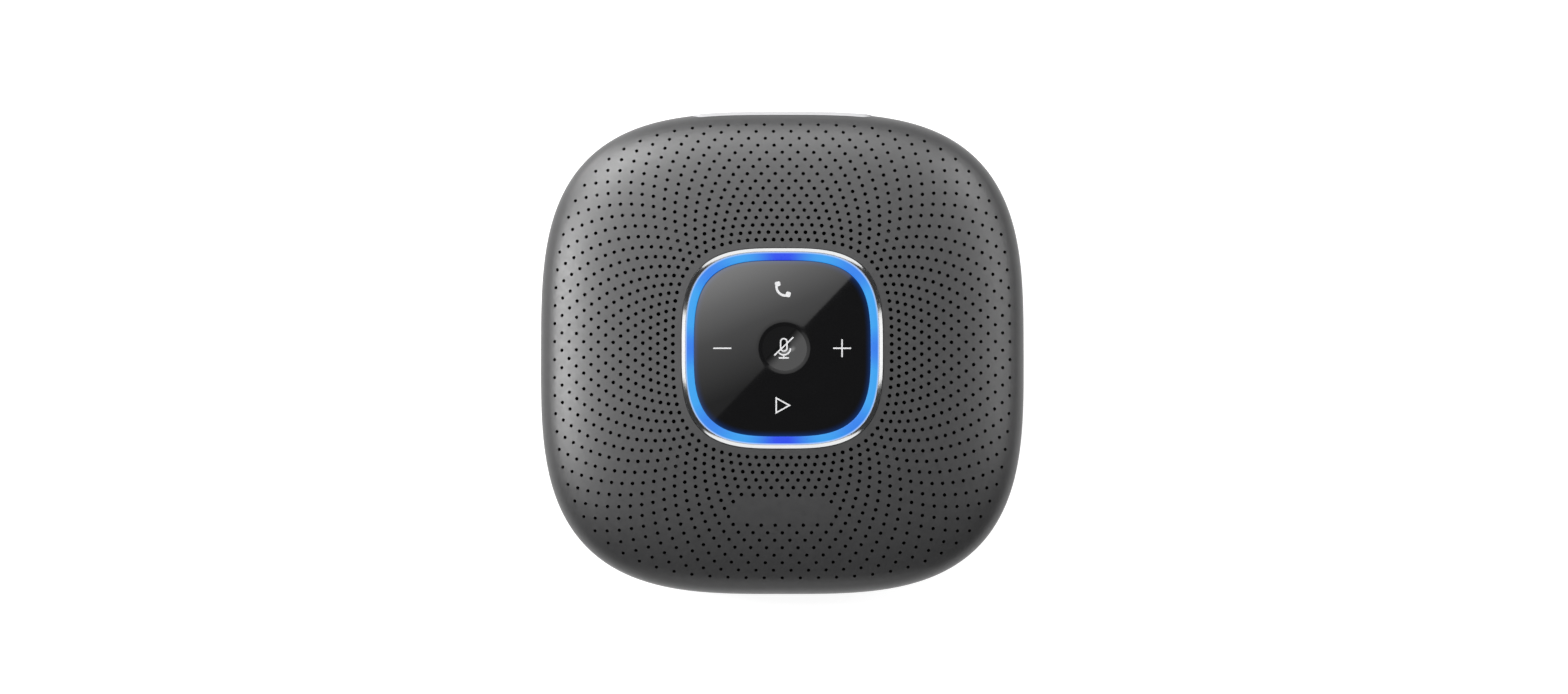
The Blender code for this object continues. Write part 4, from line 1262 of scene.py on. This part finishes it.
def side_cover(finish):
    """The rubber cover over the side sockets, following the bowl, with a finger lip and two plugs."""

    def outline(inset):
        corner = 2.0 - inset * 0.6
        return rounded_rectangle(FLAP_HALF - inset, FLAP_HALF_HIGH - inset, corner, 10, 30)

    def on_bowl(points, depth):
        placed = []
        for y, z in points:
            size = bowl_half(FLAP_MIDDLE + z) - depth
            placed.append((squircle_edge(size, y), y, FLAP_MIDDLE + z))
        return placed

    rings = [on_bowl(outline(0.25), 1.6), on_bowl(outline(0), 1.4), on_bowl(outline(0), 0.3)]
    rings += [on_bowl(outline(0.08), 0.1), on_bowl(outline(0.3), 0.02)]
    for inset in (1.0, 1.7, 2.4, 3.1):
        rings.append(on_bowl(outline(inset), 0.02))
    cover = skin("side_cover", rings, finish, sharp=50)
    usb_low, usb_high = node_mm("usb_a_receptacle")
    aux_low, aux_high = node_mm("aux_jack")
    usb_y, aux_y = (usb_low[1] + usb_high[1]) / 2, (aux_low[1] + aux_high[1]) / 2
    plug_z, reach = usb_high[2] - 2.5, (55.2, 58.0)
    usb_plug = prism("usb_plug", rounded_rectangle(5.2, 1.9, 0.4, 5), "X", *reach, centre=(usb_y, plug_z))
    boolean(cover, "UNION", usb_plug)
    boolean(cover, "UNION", cylinder("aux_plug", 1.5, "X", *reach, (aux_y, plug_z), 32))
    slot = rounded_rectangle(4.2, 0.32, 0.3, 6)
    groove = prism("lip_groove", slot, "X", 58.9, 66, centre=(0, FLAP_HIGH - 1.15))
    boolean(cover, "DIFFERENCE", groove)
    smooth_again(cover)
    return fit_out(cover, "flap", "foot_rubber", "port_flap")


# ---------------------------------------------------------------- carried-over CAD nodes


def paint(nodes, finish):
    for name in nodes:
        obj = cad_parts[name]
        obj.data.materials.clear()
        obj.data.materials.append(finish)


def numbered(stem, count):
    return [f"{stem}_{k}" for k in range(1, count + 1)]


def carried_over(plastic, rubber_finish, steel_finish):
    """Finishes for the pieces that keep their CAD shape."""
    paint(["grille_cloth"], cloth())
    inner_plastic = ["panel_carrier", "side_port_plate", "battery_cradle", "speaker_chamber", "speaker_frame"]
    paint(inner_plastic + ["aux_jack", "power_plunger", "bluetooth_plunger"], plastic)
    paint(["touch_board", "main_board"], circuit_board())
    package = plain_varied("lamp_package", (0.8, 0.8, 0.72), (0.9, 0.88, 0.8), 0.35, 0.6)
    paint(numbered("ring_led", 8), package)
    paint(["ribbon_cable"], plain_varied("ribbon_film", (0.6, 0.26, 0.05), (0.75, 0.36, 0.09), 0.35, 1.5))
    paint(numbered("mic_boot", 6) + ["speaker_surround"], rubber_finish)
    sockets = ["shield_can", "usb_a_receptacle", "power_switch", "bluetooth_switch"]
    paint(sockets + numbered("microphone", 6), steel_finish)
    paint(numbered("housing_screw", 4), steel("screw_steel", (0.2, 0.2, 0.205), 0.35))
    wrap = plain_varied("battery_wrap", (0.03, 0.15, 0.42), (0.045, 0.19, 0.5), 0.32, 8)
    paint(["battery_cell_front", "battery_cell_left"], wrap)
    iron = plain_varied("magnet_iron", (0.1, 0.1, 0.105), (0.15, 0.15, 0.155), 0.4, 1.5, 0.9, 0.02)
    paint(["speaker_magnet"], iron)
    pulp = plain_varied("cone_pulp", (0.02, 0.02, 0.02), (0.045, 0.045, 0.044), 0.85, 0.8, 0, 0.06)
    paint(["speaker_cone"], pulp)
    paint(["voice_coil"], copper_winding())
    foam = plain_varied("gasket_foam", (0.03, 0.03, 0.03), (0.06, 0.06, 0.06), 0.95, 0.5, 0, 0.1)
    paint(["speaker_gasket"], foam)


# ---------------------------------------------------------------- studio


def emitter(name, colour, strength):
    made = bpy.data.materials.new(name)
    made.use_nodes = True
    tree = made.node_tree
    tree.nodes.clear()
    glow = tree.nodes.new("ShaderNodeEmission")
    glow.inputs["Color"].default_value = (*colour, 1)
    glow.inputs["Strength"].default_value = strength
    out = tree.nodes.new("ShaderNodeOutputMaterial")
    tree.links.new(glow.outputs["Emission"], out.inputs["Surface"])
    return made, tree, glow


def floor():
    """A plain white sweep that glows enough to read as pure white."""
    m = Shader("studio_floor", (0.3, 0.3, 0.3), 0.8)
    m.set(Specular_IOR_Level=0.0, Emission_Strength=0.92)
    m.bsdf.inputs["Emission Color"].default_value = (1, 1, 1, 1)
    m.vary_colour(m.noise(300, 2), (0.295, 0.295, 0.295), (0.305, 0.305, 0.305))
    half, level_z = 4000, -0.05
    corners = [(x * half, y * half, level_z) for x, y in ((-1, -1), (1, -1), (1, 1), (-1, 1))]
    mesh_object("studio_floor", corners, [(0, 1, 2, 3)], m.material)


LIGHT_DISTANCE = 1.5  # metres


def softbox(name, azimuth, elevation, width, height, power):
    """A soft light facing the object, in degrees from +X round to +Y and up from the floor."""
    light = bpy.data.lights.new(name, "AREA")
    light.shape = "RECTANGLE"
    light.size, light.size_y = width, height
    light.energy = power
    a, e = math.radians(azimuth), math.radians(elevation)
    towards = Vector((math.cos(e) * math.cos(a), math.cos(e) * math.sin(a), math.sin(e)))
    made = bpy.data.objects.new(name, light)
    made.location = towards * LIGHT_DISTANCE
    made.rotation_mode = "QUATERNION"
    made.rotation_quaternion = towards.to_track_quat("Z", "Y")
    made.visible_camera = False
    bpy.context.scene.collection.objects.link(made)
    return made


def light_link(lamp, state, *pieces):
    """Makes a lamp light these pieces only ("INCLUDE"), or everything but these ("EXCLUDE")."""
    receivers = bpy.data.collections.new(f"{lamp.name}_receivers")
    for piece in pieces:
        receivers.objects.link(piece)
    for member in receivers.collection_objects:
        member.light_linking.link_state = state
    lamp.light_linking.receiver_collection = receivers


def overhead_softbox(height, edge_y, depth):
    """A small overhead panel up and to the left, whose straight edge shows in the glossy lens.

    Its middle, which the flat of the lens reflects, has a crisp edge and brightens away from it. Its
    wings, which only the dish reflects, fade in softly and are even after that.
    """
    material, tree, glow = emitter("overhead_panel", (1, 1, 1), 1.0)
    coordinates = tree.nodes.new("ShaderNodeTexCoord")
    place = tree.nodes.new("ShaderNodeSeparateXYZ")
    tree.links.new(coordinates.outputs["Object"], place.inputs["Vector"])
    along, across = place.outputs["X"], place.outputs["Y"]

    def maths(operation, *values):
        return math_node(tree, operation, *values)

    # The share runs from 0 at the dim corner of the middle, mostly across the panel and a little along it.
    middle_half = 0.045
    held = maths("MAXIMUM", maths("MINIMUM", along, middle_half), -middle_half)
    share = maths("MULTIPLY_ADD", held, 1.27, maths("MULTIPLY_ADD", across, 3.07, 0.027))
    ramp = tree.nodes.new("ShaderNodeValToRGB")
    stops = ramp.color_ramp.elements
    stops[0].position, stops[0].color = 0.0, (0.06, 0.06, 0.06, 1)
    stops[1].position, stops[1].color = 0.14, (1, 1, 1, 1)
    stops.new(0.07).color = (0.31, 0.31, 0.31, 1)
    stops.new(0.105).color = (0.6, 0.6, 0.6, 1)
    stops.new(0.185).color = (1, 1, 1, 1)
    stops.new(0.24).color = (0.42, 0.42, 0.42, 1)
    tree.links.new(share, ramp.inputs["Fac"])
    middle = maths("MULTIPLY", ramp.outputs["Color"], maths("GREATER_THAN", across, 0.0))

    def smooth_step(value, start, end, low, high):
        made = tree.nodes.new("ShaderNodeMapRange")
        made.interpolation_type = "SMOOTHSTEP"
        for socket, number in (("From Min", start), ("From Max", end), ("To Min", low), ("To Max", high)):
            made.inputs[socket].default_value = number
        tree.links.new(value, made.inputs["Value"])
        return made.outputs["Result"]

    apron = 0.06
    wings = smooth_step(across, -apron, 0.07, 0.0, 0.42)
    outside = smooth_step(maths("ABSOLUTE", along), middle_half, 2 * middle_half, 0.0, 1.0)
    mixed = maths("MULTIPLY_ADD", outside, maths("SUBTRACT", wings, middle), middle)
    tree.links.new(maths("MULTIPLY", mixed, 3.4), glow.inputs["Strength"])
    mesh = bpy.data.meshes.new("overhead_panel")
    corners = [(-depth, -apron, 0), (depth, -apron, 0), (depth, depth, 0), (-depth, depth, 0)]
    mesh.from_pydata(corners, [], [(0, 3, 2, 1)])
    mesh.materials.append(material)
    panel = bpy.data.objects.new("overhead_panel", mesh)
    panel.location = (0, edge_y, height)
    panel.rotation_euler = (0, 0, math.radians(46.4))
    panel.visible_camera = False
    panel.visible_shadow = False
    bpy.context.scene.collection.objects.link(panel)


# Name, direction in degrees (round from +X, and up), width and height in metres, and power in watts.
LIGHTS = (
    ("left_high", 169, 39, 0.45, 0.8, 28.5),
    ("rear_left_high", 124, 40, 0.6, 0.6, 24),
    ("rear_left_low", 132, 12, 0.6, 0.6, 12),
    ("rear_high", 90, 38, 0.7, 0.4, 7.5),
    ("rear_right_high", 47, 38, 0.5, 0.6, 10.5),
    ("right_high", 13, 38, 0.45, 0.8, 8.6),
    ("front_strip", 270, 14, 1.1, 0.2, 2.8),
)

# White cards that only the bezel sees. The rows are like those of LIGHTS.
CARDS = (
    ("left_card", 173, 40, 0.27, 0.75, 1.1),
    ("rear_card", 90, 35, 1.8, 0.6, 5.2),
    ("right_card", 7, 40, 0.27, 0.75, 1.1),
    ("front_card", 270, 45, 1.8, 0.6, 5.0),
)


def studio(bezel_piece, lens_piece):
    """Soft lights for the body. The lens doesn't mirror them, so that it stays black from every side."""
    scene = bpy.context.scene
    scene.view_settings.view_transform = "Standard"
    world = bpy.data.worlds.new("studio")
    scene.world = world
    world.use_nodes = True
    world.node_tree.nodes["Background"].inputs["Color"].default_value = (1, 1, 1, 1)
    world.node_tree.nodes["Background"].inputs["Strength"].default_value = 0.06
    floor()
    overhead_softbox(0.95, 0.0843, 0.3)
    for row in LIGHTS:
        light_link(softbox(*row), "EXCLUDE", bezel_piece, lens_piece)
    for row in CARDS:
        light_link(softbox(*row), "INCLUDE", bezel_piece)
    lens_fill = softbox("lens_fill", 135, 65, 0.6, 0.6, 20)
    lens_fill.visible_glossy = False
    light_link(lens_fill, "INCLUDE", lens_piece)


def camera():
    """A long lens almost straight above, leaning a little towards the front."""
    view_width = 396.16  # millimetres that the picture covers at the object
    lens_mm, sensor_mm = 180, 36
    elevation = math.radians(84.75)
    data = bpy.data.cameras.new("camera")
    data.lens, data.sensor_width = lens_mm, sensor_mm
    distance = view_width * MM * lens_mm / sensor_mm
    # The picture's centre is a little right of the object's, and further back on the table.
    target = Vector((0.43, 1.47, EQUATOR_Z)) * MM
    back = Vector((0, -math.cos(elevation), math.sin(elevation)))
    obj = bpy.data.objects.new("camera", data)
    obj.location = target + back * distance
    obj.rotation_mode = "QUATERNION"
    obj.rotation_quaternion = (-back).to_track_quat("-Z", "Y")
    data.clip_start, data.clip_end = 0.1, 20
    bpy.context.scene.collection.objects.link(obj)
    bpy.context.scene.camera = obj


# ---------------------------------------------------------------- assembly


def main():
    camera()
    graphite, plastic, rubber_finish, steel_finish = graphite_plastic(), dark_plastic(), rubber(), steel()
    ink = key_print()
    upper_shell(graphite, painted_hole_shade())
    lower_shell(graphite)
    underside(rubber_finish, plastic)
    studio(bezel(chrome()), lens(lens_gloss()))
    light_guide(light_diffuser())
    symbols(symbol_print())
    port_trim(satin_metal())
    port_panel(plastic, ("power_button", "bluetooth_button"))
    keys = button_plastic()
    key_cap("power_key_cap", "power_button", "power_key", keys, ink, mark_power)
    key_cap("pairing_key_cap", "bluetooth_button", "bluetooth_key", keys, ink, mark_wireless)
    usb_c_socket(steel_finish, plastic)
    side_cover(rubber_finish)
    carried_over(plastic, rubber_finish, steel_finish)


main()
